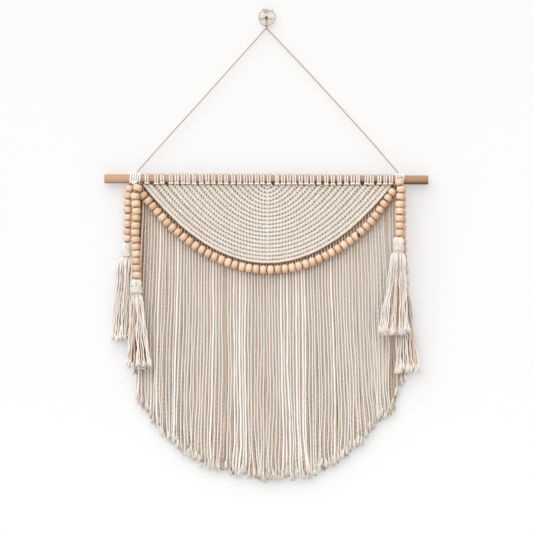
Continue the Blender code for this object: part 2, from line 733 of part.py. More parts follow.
def main():
    clear_scene()
    parts = new_collection(NAME)
    cutters = new_collection("cutters")
    cotton = new_material("natural_cotton", COTTON, 0.95)
    pale_wood = new_material("pale_bead_wood", PALE_WOOD, 0.55)
    rod_wood = new_material("rod_wood", ROD_WOOD, 0.6)
    tan = new_material("tan_twine", TWINE_TAN, 0.9)
    white = new_material("white_peg", PEG_WHITE, 0.5)
    brown = new_material("brown_pin", PIN_BROWN, 0.4, 0.6)

    make_peg(parts, white, brown)
    make_loop(parts, cutters, tan)
    add_twine("hanger_cord_left", smooth_route(LEFT_LEG, LEG_POINTS), tan, parts)
    add_twine("hanger_cord_right", smooth_route(RIGHT_LEG, LEG_POINTS), tan, parts)
    make_rod(parts, rod_wood)
    make_wrap("left_wrap", LEFT_WRAP, parts, cotton)
    right_wrap = make_wrap("right_wrap", RIGHT_WRAP, parts, cotton)
    knot = ball("right_knot", RIGHT_KNOT_PLACE, RIGHT_KNOT_SIZE)
    join_to(right_wrap, add_helper("right_knot", knot, cutters))
    make_panel(parts, cutters, cotton)
    make_fringe(parts, cotton)
    make_bead_strings(parts, pale_wood)
    for tassel in TASSELS:
        make_tassel(tassel, parts, cotton)
        make_band(tassel, parts, cotton)


main()
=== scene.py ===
"""Half-moon macrame wall hanging: its cords, knots, beads and tassels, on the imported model.

Metres, +Z up. The wall is the plane y = 0 and -Y is the front.
"""

import math
import random
from collections import namedtuple

import bpy
import numpy as np
from bpy.props import FloatProperty, FloatVectorProperty, IntProperty, PointerProperty
from mathutils import Matrix, Vector


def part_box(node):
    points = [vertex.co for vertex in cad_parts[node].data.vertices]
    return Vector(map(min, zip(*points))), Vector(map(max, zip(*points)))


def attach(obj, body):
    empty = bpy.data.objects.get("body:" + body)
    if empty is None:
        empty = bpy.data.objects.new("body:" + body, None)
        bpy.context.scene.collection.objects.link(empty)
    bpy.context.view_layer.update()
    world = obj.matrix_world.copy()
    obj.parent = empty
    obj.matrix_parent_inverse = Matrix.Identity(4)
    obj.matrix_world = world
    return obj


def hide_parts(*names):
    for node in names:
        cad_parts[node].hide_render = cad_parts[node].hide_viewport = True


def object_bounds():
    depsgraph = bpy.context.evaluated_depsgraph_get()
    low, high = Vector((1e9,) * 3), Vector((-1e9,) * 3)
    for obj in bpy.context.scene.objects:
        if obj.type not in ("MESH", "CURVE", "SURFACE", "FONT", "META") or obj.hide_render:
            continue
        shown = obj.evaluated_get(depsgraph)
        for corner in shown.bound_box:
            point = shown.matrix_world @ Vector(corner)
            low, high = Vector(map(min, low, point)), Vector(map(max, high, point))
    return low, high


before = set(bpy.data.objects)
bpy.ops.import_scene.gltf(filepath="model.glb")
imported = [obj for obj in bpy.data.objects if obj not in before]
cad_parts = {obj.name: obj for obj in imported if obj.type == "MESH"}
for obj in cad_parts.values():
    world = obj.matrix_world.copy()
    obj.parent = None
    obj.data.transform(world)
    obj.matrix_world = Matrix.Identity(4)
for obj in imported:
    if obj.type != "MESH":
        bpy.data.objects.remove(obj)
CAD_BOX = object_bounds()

bl_info = {
    "name": "Macrame wall hanging",
    "version": (1, 0, 0),
    "blender": (4, 5, 0),
    "location": "View3D > Sidebar > Macrame",
    "description": "Builds a half-moon macrame wall hanging piece by piece",
    "category": "Object",
}

SEED = 11
NEAR = 0.00001  # how close to a face a point counts as on it
BODY = "root"


class Uneven(random.Random):
    """Seeded chance, so that each run gives the same unevenness."""

    def about(self, most):
        """A number from -most to most."""
        return self.uniform(-most, most)


def middle(node):
    low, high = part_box(node)
    return (low + high) / 2


# Stage
CAMERA_AIM = (0.0003, -0.3457)  # across and up
WALL_SIZE = (4.0, 3.0)
WALL_GAP = 0.0004
FLOOR_DROP = 0.55  # from the fringe's end to the floor
KEY_WAY, KEY_COLOUR = (0.31, 0.73, -0.61), (0.975, 1.0, 1.04)
CEILING_WAY, CEILING_COLOUR = (0.10, 0.50, -0.86), (1.0, 0.98, 0.95)
CEILING_WIDTH = math.radians(130)
ROOM_COLOUR = (1.0, 0.94, 0.87, 1.0)

# Rod and the wraps near its ends
ROD_LOW, ROD_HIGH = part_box("wooden_rod")
ROD_Y = middle("wooden_rod").y
ROD_RADIUS = 0.00635
ROD_SLOPE = -0.0037
ROD_Z = middle("wooden_rod").z
WRAP_RADIUS, WRAP_CORD = 0.00775, 0.00155  # from the rod's middle to the cord's, and the cord's own
HEADING_CORD, HEADING_FLAT = 0.00153, 0.62  # radius across, and how much flatter on the rod
HEADING_POINTS = 30

# Twine: the loop round the peg, and each leg's route from the crossing to its wrap
TWINE = 0.0020
LOOP_Y = -0.0070
LOOP_PLACE = Vector((0.0010, LOOP_Y, 0.0004))
LOOP_RADIUS = 0.01125
EYE_RADIUS = 0.0024
PIN_SHANK_RADIUS = 0.0009
CROSSING = Vector((0, LOOP_Y, -0.0130))
TOP_KNOT = Vector((-0.0014, LOOP_Y, 0.0096))
TAIL_END = (0.0102, LOOP_Y, 0.0116)
LEFT_LEG = (
    (-0.0012, LOOP_Y, -0.0153),
    (-0.0190, LOOP_Y - 0.0002, -0.0352),
    (-0.0560, -0.0077, -0.0765),
    (-0.0980, -0.0087, -0.1235),
    (-0.1420, -0.0097, -0.1720),
    (-0.1795, -0.0105, -0.2143),
)
RIGHT_LEG = (
    (0.0012, LOOP_Y, -0.0153),
    (0.0200, LOOP_Y - 0.0002, -0.0348),
    (0.0590, -0.0077, -0.0762),
    (0.1020, -0.0087, -0.1232),
    (0.1460, -0.0097, -0.1720),
    (0.1836, -0.0105, -0.2158),
)

# Doubled cords over the rod: their middles along x, from the left and from the middle
LOOP_PLACES_LEFT = (
    (-0.1658, -0.1527, -0.1445, -0.1322, -0.1243, -0.1155, -0.1083, -0.1000, -0.0903, -0.0815)
    + (-0.0732, -0.0639, -0.0556, -0.0460, -0.0374, -0.0290, -0.0212, -0.0130, -0.0051)
)
LOOP_PLACES_RIGHT = (
    (0.0038, 0.0151, 0.0233, 0.0315, 0.0390, 0.0480, 0.0558, 0.0638, 0.0731, 0.0834)
    + (0.0923, 0.1018, 0.1113, 0.1200, 0.1272, 0.1394, 0.1464, 0.1569, 0.1655, 0.1730)
)

# Half-moon panel
PANEL_X = 0.0018
PANEL_TOP = -0.2325
PANEL_HALF_WIDTH = 0.1743
PANEL_DROP = 0.1097
PANEL_ROWS = 20
LOOP_PULL = 0.3  # how far a row's end is drawn towards its loop over the rod
RING_THICK = 0.45  # a turn of cord is modelled as a ring of radius 1 and this half thickness
RING_REACH = 1 + RING_THICK
KNOT_LEAN = 0.22  # how far a turn leans from square across its row to upright
CORE_RADIUS = 0.0019

# Fringe
FRINGE_HALF_WIDTH = 0.1785
FRINGE_SPREAD = 1.066
FRINGE_SHIFT = 0.0022
FRINGE_CUT_PLACES = (  # places across, and how much shorter than the arc the fringe is cut there
    (-0.1900, -0.1832, -0.1808, -0.1727, -0.1670, -0.1560, -0.134, -0.106, -0.084, -0.073, -0.045, -0.023)
    + (-0.006, 0.027, 0.041, 0.061, 0.072, 0.088, 0.116, 0.127, 0.138, 0.150, 0.161, 0.169, 0.177)
    + (0.183, 0.191)
)
FRINGE_CUTS = (
    (0.030, 0.032, -0.014, -0.011, -0.002, -0.004, 0.000, 0.003, 0.001, 0.006, 0.0075, 0.0065)
    + (0.003, 0.005, 0.002, 0.002, 0.004, 0.002, 0.004, 0.008, 0.0125, 0.014, 0.0115, 0.000, -0.008)
    + (0.006, 0.004)
)
FRINGE_ARC_X, FRINGE_ARC_Z, FRINGE_ARC_RADIUS = 0.0037, -0.4520, 0.1946
FRINGE_UNEVEN_CUT = 0.0045  # how much longer or shorter than its neighbours a strand may be cut
FRINGE_SET_BACK = 0.05  # of the front strands, how many hang a little behind the others
TUFT_YARN = np.linspace(0.00085, 0.00050, 5)  # a loose yarn's radius along it
FRINGE_WAVES = ((0.110, 0.00042), (0.045, 0.00022))  # a wave's length, and how far it goes to each side

# Layers of strands: y, how much shorter, shifted by what share of a strand, how much painted shade they
# get, the way from ring to ring, the way in which plies turn once, how wide from front to back, sway,
# yarns in a tuft, the tuft's spread, and how much of that painted shade is taken off their backs
FringeLayer = namedtuple(
    "FringeLayer", "name front y short shift hollow step pitch wide sway yarns brush pale"
)
FRINGE_LAYERS = (
    FringeLayer("front", True, -0.0092, 0.0000, 0.0, 0.00, 0.00172, 0.0098, 1.0, 1.0, 11, 0.0038, 0.0),
    FringeLayer("middle", False, -0.0081, 0.0030, 0.5, 0.53, 0.0034, 0.0200, 1.7, 0.3, 8, 0.0042, 0.7),
    FringeLayer("back", False, -0.0066, 0.0060, 0.0, 0.58, 0.0050, 0.0300, 2.1, 0.0, 7, 0.0042, 1.0),
)

# Bead strings
SWAG_Y = -0.0169
SWAG_BEADS = 43
SWAG_ROUTE = (
    (-0.1707, SWAG_Y, -0.2471),
    (-0.1307, SWAG_Y, -0.2919),
    (-0.0809, SWAG_Y, -0.3277),
    (-0.0242, SWAG_Y, -0.3482),
    (0.0357, SWAG_Y, -0.3474),
    (0.0909, SWAG_Y, -0.3264),
    (0.1391, SWAG_Y, -0.2905),
    (0.1752, SWAG_Y, -0.2427),
)
SWAG_LEFT_END = ((-0.1738, -0.0125, -0.2331), (-0.1737, -0.0142, -0.2375))
SWAG_RIGHT_END = ((0.1773, -0.0142, -0.2377), (0.1782, -0.0125, -0.2346))

BeadString = namedtuple("BeadString", "name tie y marks")
BEAD_STRINGS = (  # marks: a bead's number and its x and z, with the beads between on straight lines
    BeadString(
        "left_outer",
        (-0.1897, -0.0150, -0.2321),
        -0.0150,
        ((0, -0.1898, -0.2378), (1, -0.1915, -0.2473), (7, -0.1924, -0.3068)),
    ),
    BeadString(
        "left_inner",
        (-0.1780, -0.0184, -0.2287),
        -0.0236,
        (
            (0, -0.1781, -0.2370),
            (1, -0.1816, -0.2482),
            (3, -0.1800, -0.2687),
            (6, -0.1815, -0.2984),
            (9, -0.1804, -0.3281),
            (12, -0.1788, -0.3573),
        ),
    ),
    BeadString(
        "right_front",
        (0.1845, -0.0300, -0.2231),
        -0.0303,
        ((0, 0.1843, -0.2284), (1, 0.1864, -0.2387), (3, 0.1848, -0.2592), (7, 0.1843, -0.2988)),
    ),
    BeadString(
        "right_back",
        (0.1876, -0.0148, -0.2334),
        -0.0173,
        (
            (0, 0.1880, -0.2420),
            (1, 0.1878, -0.2520),
            (5, 0.1880, -0.2919),
            (9, 0.1892, -0.3321),
            (11, 0.1916, -0.3522),
        ),
    ),
)
PLUMPER = {"left_outer": 1.05, "left_inner": 1.07, "right_front": 1.05, "swag": 1.04}  # how much wider
BEAD_CORD = 0.0014  # radius
TURNED_BEAD, TURNED_WAY = 34, (0.80, -0.48, 0.36)  # one bead of the swag shows its hole
# Beads get a painted highlight on the side towards this way, and painted shade on the far side.
BEAD_LIGHT_WAY = (-0.36, -0.72, 0.59)  # the side on which beads look paler

# Tassels: where a neck is, how high the head's top is, the middle and half width of the skirt's end,
# what share of that width the skirt has just under its neck, how big the head is, and how much painted
# shade its inner strands get
Tassel = namedtuple("Tassel", "name x y top end_x end_y end_z spread early head deep")
TASSELS = (
    Tassel("left_outer", -0.1938, -0.0150, -0.3122, -0.2006, -0.0121, -0.4515, 0.0160, 0.80, 0.92, 0.46),
    Tassel("left_inner", -0.1795, -0.0236, -0.3626, -0.1758, -0.0245, -0.4890, 0.0195, 0.42, 1.0, 0.90),
    Tassel("right_front", 0.1830, -0.0303, -0.3044, 0.1776, -0.0305, -0.4420, 0.0228, 0.46, 1.0, 0.40),
    Tassel("right_back", 0.1913, -0.0173, -0.3578, 0.1970, -0.0173, -0.4950, 0.0180, 0.5, 1.0, 0.82),
)
TASSEL_INNER_SHARE = 0.46  # of a tassel's strands, how many are inside its skirt
TASSEL_BRUSH = 0.0036  # how far loose yarn spreads from a strand's end
TASSEL_YARN = np.linspace(0.0008, 0.0005, 4)  # a loose yarn's radius along it
TASSEL_BAND_CORD = 0.00092  # radius
TASSEL_WAVES = ((0.036, 0.0007), (0.017, 0.0003))  # a wave's length, and how far it goes to each side
GOLDEN_TURN = 2.39996  # spreads strands evenly round a neck
HEAD_LENGTH = 0.0110
HEAD_CORDS, HEAD_CORD_RADIUS = 13, 0.0017
BAND_TURNS = 5.4
BAND_LENGTH = 0.0090
HEAD_HALF = (0.0080, 0.0060)
NECK_HALF = (0.0062, 0.0046)
BAND_HALF = (0.0070, 0.0055)


# ---------------------------------------------------------------- sizes and colours a user would change


def length_setting(name, description, default):
    return FloatProperty(name=name, description=description, default=default, unit="LENGTH", precision=5)


def colour_setting(name, description, default):
    shown = {"name": name, "description": description, "subtype": "COLOR", "min": 0, "max": 1}
    return FloatVectorProperty(default=default, **shown)


class MacrameCords(bpy.types.PropertyGroup):
    knot_pitch: length_setting("Knot pitch", "Way from knot to knot along a row", 0.0043)
    row_depth: length_setting("Row depth", "Thickness of a row from front to back", 0.0066)
    strands: IntProperty(name="Strands", description="Strands in each layer of the fringe", default=88)
    strand: length_setting("Strand", "Thickness of a fringe strand", 0.0030)
    tuft: length_setting("Tuft", "Length of the frayed end of a strand", 0.012)
    tassel_strands: IntProperty(name="Tassel strands", description="Strands in one tassel", default=52)
    tassel_strand: length_setting("Tassel strand", "Thickness of a tassel strand", 0.0021)


class MacrameBeads(bpy.types.PropertyGroup):
    width: length_setting("Bead width", "Bead across its hole", 0.0120)
    length: length_setting("Bead length", "Bead along its hole", 0.0102)
    hole: length_setting("Hole", "Width of the hole", 0.0030)


class MacrameColours(bpy.types.PropertyGroup):
    cotton: colour_setting("Cotton", "Panel cord where the light falls on it", (0.842, 0.845, 0.82))
    loose_cotton: colour_setting("Loose cotton", "Other cotton where light falls on it", (0.98, 0.972, 0.95))
    # The tan and deep colours are painted shade: they are mixed in between plies, between strands and in
    # holes, where shade falls.
    cotton_shade_tan: colour_setting("Tan cotton", "Cotton between plies and behind others", (0.605, 0.48, 0.37))
    tassel_tan: colour_setting("Tan in tassels", "Tassels between plies and strands", (0.74, 0.555, 0.40))
    loose_deep_shade: colour_setting("Deep loose cotton", "Loose cotton deep between others", (0.23, 0.09, 0.028))
    cotton_deep_shade: colour_setting("Deep cotton", "Cotton cord in the holes between knots", (0.13, 0.055, 0.02))
    twine: colour_setting("Twine", "Hanging twine", (0.62, 0.48, 0.34))
    pale_twine: colour_setting("Pale twine", "Loop round the peg", (0.80, 0.70, 0.57))
    twine_shade_tan: colour_setting("Tan twine", "Hanging twine between its plies", (0.42, 0.29, 0.18))
    twine_deep_shade: colour_setting("Deep twine", "Hanging twine where it is tied", (0.16, 0.09, 0.05))
    bead: colour_setting("Bead", "Pale bead wood", (0.80, 0.58, 0.40))
    bead_deep: colour_setting("Deep bead", "Darker grain of the beads", (0.57, 0.34, 0.19))
    rod: colour_setting("Rod", "Rod wood", (0.555, 0.35, 0.225))
    rod_deep: colour_setting("Deep rod", "Darker grain of the rod", (0.36, 0.19, 0.105))
    # Painted shade on the rod's underside.
    rod_shade: colour_setting("Rod underside", "Rod's stained underside", (0.07, 0.03, 0.014))
    peg: colour_setting("Peg", "Painted wall peg", (0.80, 0.80, 0.79))
    pin: colour_setting("Pin", "Dark metal pin", (0.10, 0.055, 0.03))
    wall: colour_setting("Wall", "Wall and floor", (0.58, 0.586, 0.592))


class MacrameStage(bpy.types.PropertyGroup):
    camera_distance: length_setting("Camera distance", "From the wall to the camera", 4.0)
    frame_width: length_setting("Frame width", "What the picture's width shows at the wall", 0.7409)
    key: FloatProperty(name="Key light", description="Strength of light from the upper left", default=1.75)
    key_width: FloatProperty(
        name="Key light width", description="Wider is softer", default=math.radians(72), subtype="ANGLE"
    )
    ceiling: FloatProperty(name="Ceiling light", description="Strength of the light from above", default=0.40)
    sky: FloatProperty(name="Room light", description="Strength of the light all round", default=0.62)


# ---------------------------------------------------------------- materials


class Value:
    """A number that changes over a surface. Arithmetic on it adds Math nodes."""

    def __init__(self, finish, socket):
        self.finish = finish
        self.socket = socket

    def math(self, operation, *numbers):
        node = self.finish.node("ShaderNodeMath", {"operation": operation}, dict(enumerate(numbers)))
        return Value(self.finish, node.outputs[0])

    def __add__(self, other):
        return self.math("ADD", self, other)

    def __sub__(self, other):
        return self.math("SUBTRACT", self, other)

    def __rsub__(self, other):
        return self.math("SUBTRACT", other, self)

    def __mul__(self, other):
        return self.math("MULTIPLY", self, other)

    def __abs__(self):
        return self.math("ABSOLUTE", self)

    __radd__ = __add__
    __rmul__ = __mul__

    def held(self):
        """The number, kept from 0 to 1."""
        return self.math("MINIMUM", self.math("MAXIMUM", self, 0.0), 1.0)


class Finish:
    """A material with one Principled shader, and the one way in which nodes are added to it."""

    def __init__(self, name, plain):
        self.material = bpy.data.materials.new(name)
        self.material.use_nodes = True
        self.nodes = self.material.node_tree.nodes
        self.links = self.material.node_tree.links
        self.shader = self.nodes["Principled BSDF"]
        for socket, number in plain.items():
            self.shader.inputs[socket].default_value = number

    def node(self, kind, settings=None, sockets=None):
        node = self.nodes.new(kind)
        for setting, choice in (settings or {}).items():
            setattr(node, setting, choice)
        for socket, given in (sockets or {}).items():
            self.set(node.inputs[socket], given)
        return node

    def set(self, socket, given):
        given = given.socket if isinstance(given, Value) else given
        if isinstance(given, bpy.types.NodeSocket):
            self.links.new(given, socket)
        else:
            socket.default_value = given

    def attribute(self, name):
        return Value(self, self.node("ShaderNodeAttribute", {"attribute_name": name}).outputs["Fac"])

    def vector_attribute(self, name):
        return self.node("ShaderNodeAttribute", {"attribute_name": name}).outputs["Vector"]

    def places(self):
        return self.node("ShaderNodeTexCoord").outputs["Object"]

    def parts(self, vector):
        node = self.node("ShaderNodeSeparateXYZ", None, {0: vector})
        return [Value(self, node.outputs[i]) for i in range(3)]

    def vector(self, x, y, z):
        return self.node("ShaderNodeCombineXYZ", None, {0: x, 1: y, 2: z}).outputs[0]

    def stretched(self, vector, scale):
        return self.node("ShaderNodeVectorMath", {"operation": "MULTIPLY"}, {0: vector, 1: scale}).outputs[0]

    def noise(self, vector, scale, detail=2.0, roughness=0.5):
        sockets = {"Vector": vector, "Scale": scale, "Detail": detail, "Roughness": roughness}
        return Value(self, self.node("ShaderNodeTexNoise", None, sockets).outputs[0])

    def mix(self, share, first, second):
        colours = [(*c, 1.0) if isinstance(c, (tuple, list)) else c for c in (first, second)]
        sockets = {0: share, 6: colours[0], 7: colours[1]}
        return self.node("ShaderNodeMix", {"data_type": "RGBA"}, sockets).outputs[2]

    def paint(self, colour, height=None, distance=0.0002, strength=0.6, roughness=None):
        self.set(self.shader.inputs["Base Color"], colour)
        if roughness is not None:
            self.set(self.shader.inputs["Roughness"], roughness)
        if height is not None:
            sockets = {"Strength": strength, "Distance": distance, "Height": height}
            bump = self.node("ShaderNodeBump", None, sockets)
            self.set(self.shader.inputs["Normal"], bump.outputs[0])
        return self.material


def cord_finish(name, light, tan, deep):
    """Spun cord: yarn that turns round the ply; painted shade, tan between plies and strands, deep in holes.
    """
    sheen = {"Sheen Weight": 0.1, "Sheen Tint": (1.0, 0.8, 0.62, 1.0)}
    finish = Finish(name, {"Roughness": 0.92, "Specular IOR Level": 0.1, **sheen})
    along, around, _ = finish.parts(finish.node("ShaderNodeUVMap").outputs[0])
    hollow = finish.attribute("hollow")
    tone = finish.attribute("tone")
    yarn_place = finish.vector(along * 3.0 + around * 2.0, around * 16.0 - along * 9.0, tone * 40.0)
    yarn = finish.noise(yarn_place, 1.0, 3.0)
    fluff = finish.noise(finish.places(), 900.0, 2.0)
    spots = finish.noise(finish.places(), 260.0, 1.0)
    # hollow is painted shade: it mixes in the tan colour, and past half way the deep colour, where light
    # would not reach.
    share = hollow * 2.0 + (yarn - 0.5) * 0.45 + (tone - 0.5) * 0.16 + (fluff - 0.5) * 0.20
    colour = finish.mix(share.held(), light, tan)
    colour = finish.mix((hollow * 2.0 - 1.0).held(), colour, deep)
    seeds = ((spots - 0.73) * 9.0).held() * 0.4
    colour = finish.mix(seeds, colour, (0.36, 0.24, 0.15))
    return finish.paint(colour, yarn * 0.7 + fluff * 0.3, distance=0.0003, strength=0.7)


def bead_finish(colours):
    """Pale turned wood: soft grain along the hole, each bead a little different."""
    finish = Finish("bead_wood", {"Specular IOR Level": 0.35})
    place = finish.vector_attribute("grain_place")
    tone = finish.attribute("tone")
    lines = finish.noise(finish.stretched(place, (1.0, 1.0, 0.16)), 900.0, 3.0, 0.6)
    pores = finish.noise(finish.stretched(place, (1.0, 1.0, 0.06)), 3600.0, 1.0)
    cloud = finish.noise(place, 140.0, 1.0)
    share = (lines - 0.5) * 0.7 + (tone - 0.5) * 0.8 + (cloud - 0.5) * 0.5 + (pores - 0.5) * 0.25 + 0.30
    colour = finish.mix(share.held(), tuple(colours.bead), tuple(colours.bead_deep))
    lit = finish.attribute("lit")
    # Painted highlight on the side that faces BEAD_LIGHT_WAY, and painted shade on the side away from it.
    colour = finish.mix(((lit - 0.45) * 1.4).held() * 0.5, colour, (0.92, 0.82, 0.70))
    colour = finish.mix(((0.60 - lit) * 0.55).held(), colour, (0.48, 0.20, 0.07))
    # Painted shade near the hole, where beads meet.
    colour = finish.mix(finish.attribute("hollow"), colour, (0.20, 0.085, 0.035))
    return finish.paint(colour, lines * 0.5 + pores * 0.5, 0.00012, 0.35, 0.42 + lines * 0.22)


def rod_finish(colours):
    """Plain dowel: long grain, pores, end grain in rings, and painted shade on its underside."""
    finish = Finish("rod_wood", {"Specular IOR Level": 0.3})
    place = finish.places()
    long_grain = finish.noise(finish.stretched(place, (0.05, 1.0, 1.0)), 420.0, 4.0, 0.62)
    bands = finish.noise(finish.stretched(place, (0.03, 1.0, 1.0)), 130.0, 2.0)
    pores = finish.noise(finish.stretched(place, (0.10, 1.0, 1.0)), 2600.0, 1.0)
    patches = finish.noise(finish.stretched(place, (0.6, 1.0, 1.0)), 30.0, 1.0)
    along, _, up = finish.parts(place)
    # The grain colour also darkens towards the right end.
    share = (long_grain - 0.5) * 1.3 + (bands - 0.5) * 1.2 + (patches - 0.5) * 0.5 + along * 1.1 + 0.38
    colour = finish.mix(share.held(), tuple(colours.rod), tuple(colours.rod_deep))
    dark_pores = ((pores - 0.62) * 6.0).held() * 0.45
    colour = finish.mix(dark_pores, colour, (0.20, 0.11, 0.07))
    # Painted shade on the underside, stronger towards the right end and most where the knots hang under the
    # rod.
    under = (up - along * ROD_SLOPE - ROD_Z) * (-1.0 / ROD_RADIUS)
    knotted = ((PANEL_HALF_WIDTH - abs(along)) * 150.0).held()
    underside_shade = (under + along * 1.1 - 0.38 + knotted * 0.20) * (knotted * 0.8 + 1.2)
    colour = finish.mix(underside_shade.held(), colour, tuple(colours.rod_shade))
    return finish.paint(colour, long_grain * 0.6 - pores * 0.4, 0.00015, 0.4, 0.45 + long_grain * 0.25)


def peg_finish(colours):
    finish = Finish("peg_paint", {"Specular IOR Level": 0.4})
    orange_peel = finish.noise(finish.places(), 1500.0, 2.0)
    wear = finish.noise(finish.places(), 240.0, 3.0)
    colour = finish.mix((wear - 0.45) * 0.5, tuple(colours.peg), (0.66, 0.65, 0.62))
    return finish.paint(colour, orange_peel, 0.00008, 0.4, 0.35 + wear * 0.3)


def pin_finish(colours):
    finish = Finish("pin_metal", {"Metallic": 0.85})
    wear = finish.noise(finish.places(), 1800.0, 3.0)
    colour = finish.mix(wear, tuple(colours.pin), (0.20, 0.12, 0.07))
    return finish.paint(colour, wear, 0.00005, 0.5, 0.25 + wear * 0.35)


def stage_finish(colours):
    """Matt wall paint. From behind the wall lets the object be seen."""
    glow = {"Emission Color": (1.0, 1.0, 1.0, 1.0), "Emission Strength": 0.30}
    finish = Finish("wall_paint", {"Roughness": 0.95, "Specular IOR Level": 0.0, **glow})
    grain = finish.noise(finish.places(), 60.0, 2.0)
    colour = finish.mix(grain * 0.04, tuple(colours.wall), (0.58, 0.585, 0.59))
    finish.paint(colour)
    behind = finish.node("ShaderNodeNewGeometry").outputs["Backfacing"]
    clear = finish.node("ShaderNodeBsdfTransparent")
    sockets = {0: behind, 1: finish.shader.outputs[0], 2: clear.outputs[0]}
    mixed = finish.node("ShaderNodeMixShader", None, sockets)
    finish.set(finish.nodes["Material Output"].inputs["Surface"], mixed.outputs[0])
    return finish.material


# After the colour in the light come the cord's tan painted shade between plies and its deep painted shade
# between cords.
CORD_COLOURS = {  # each cord's colour in the light, between its plies, and deep between cords
    "cotton": ("cotton", "cotton_shade_tan", "cotton_deep_shade"),
    "loose_cotton": ("loose_cotton", "cotton_shade_tan", "loose_deep_shade"),
    "tassel_cotton": ("loose_cotton", "tassel_tan", "loose_deep_shade"),
    "twine": ("twine", "twine_shade_tan", "twine_deep_shade"),
    "pale_twine": ("pale_twine", "twine_shade_tan", "twine_deep_shade"),
}
HARD_FINISHES = {
    "bead_wood": bead_finish,
    "rod_wood": rod_finish,
    "peg": peg_finish,
    "pin": pin_finish,
    "wall": stage_finish,
}
MATERIALS = {}


def material(name):
    """The finish of that name, made when it is first asked for."""
    if name not in MATERIALS:
        colours = bpy.context.scene.macrame_colours
        if name in CORD_COLOURS:
            shades = [tuple(getattr(colours, shade)) for shade in CORD_COLOURS[name]]
            MATERIALS[name] = cord_finish(name, *shades)
        else:
            MATERIALS[name] = HARD_FINISHES[name](colours)
    return MATERIALS[name]


# ---------------------------------------------------------------- meshes


def held(numbers):
    """The numbers, kept from 0 to 1."""
    return np.clip(numbers, 0, 1)


def columns(x, y, z):
    """Points as rows of an array. A coordinate that is one number is the same for all."""
    return np.stack(np.broadcast_arrays(x, y, z), axis=1)


def lengths(rows):
    return np.linalg.norm(rows, axis=-1)


def way_along(route):
    """How far each point of a route is from its start, measured along it."""
    return np.concatenate(([0.0], np.cumsum(lengths(np.diff(route, axis=0)))))


def new_piece(name, points, faces, finish, attributes, uvs=None):
    """One mesh object at the origin, with its attributes for the finish."""
    mesh = bpy.data.meshes.new(name)
    mesh.from_pydata(points, [], faces)
    for attribute, numbers in attributes.items():
        mesh.attributes.new(attribute, "FLOAT", "POINT").data.foreach_set("value", np.ravel(numbers))
    if uvs is not None:
        mesh.uv_layers.new(name="UVMap").data.foreach_set("uv", np.ravel(uvs))
    mesh.shade_smooth()
    piece = bpy.data.objects.new(name, mesh)
    bpy.context.scene.collection.objects.link(piece)
    mesh.materials.append(material(finish))
    return piece


def settle(piece, node):
    """The piece rides on the part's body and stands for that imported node."""
    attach(piece, BODY)
    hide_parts(node)


def settle_shape(name, finish, node):
    """Names, paints and smooths the shape made with Blender's operators, and settles it."""
    bpy.ops.object.mode_set(mode="OBJECT")
    piece = bpy.context.object
    piece.name = name
    piece.data.materials.append(material(finish))
    bpy.ops.object.shade_smooth_by_angle(angle=math.radians(40))
    settle(piece, node)


def smooth_route(points, count):
    """Places evenly spread on one smooth curve through the points, by Catmull-Rom spans."""
    points = [Vector(point) for point in points]
    ends = [2 * points[0] - points[1]] + points + [2 * points[-1] - points[-2]]
    spans = len(points) - 1
    route = []
    for i in range(count):
        along = spans * i / (count - 1)
        span = min(int(along), spans - 1)
        t = along - span
        a, b, c, d = ends[span : span + 4]
        square = 2 * a - 5 * b + 4 * c - d
        cube = 3 * b - a - 3 * c + d
        route.append(0.5 * (2 * b + (c - a) * t + square * t**2 + cube * t**3))
    return np.array(route)


def circle(centre, turns, radius):
    """Points round a centre in the plane of the wall."""
    return np.array(centre) + columns(radius * np.cos(turns), 0.0, radius * np.sin(turns))


def knot_route(centre, half, count):
    """One closed overhand knot, as wide, deep and high on each side of its centre as half says."""
    t = np.linspace(0, 2 * np.pi, count)
    across = half[0] * (np.sin(t) + 2 * np.sin(2 * t)) / 3
    up = half[2] * (np.cos(t) - 2 * np.cos(2 * t)) / 3
    return np.array(centre) + columns(across, -half[1] * np.sin(3 * t), up)


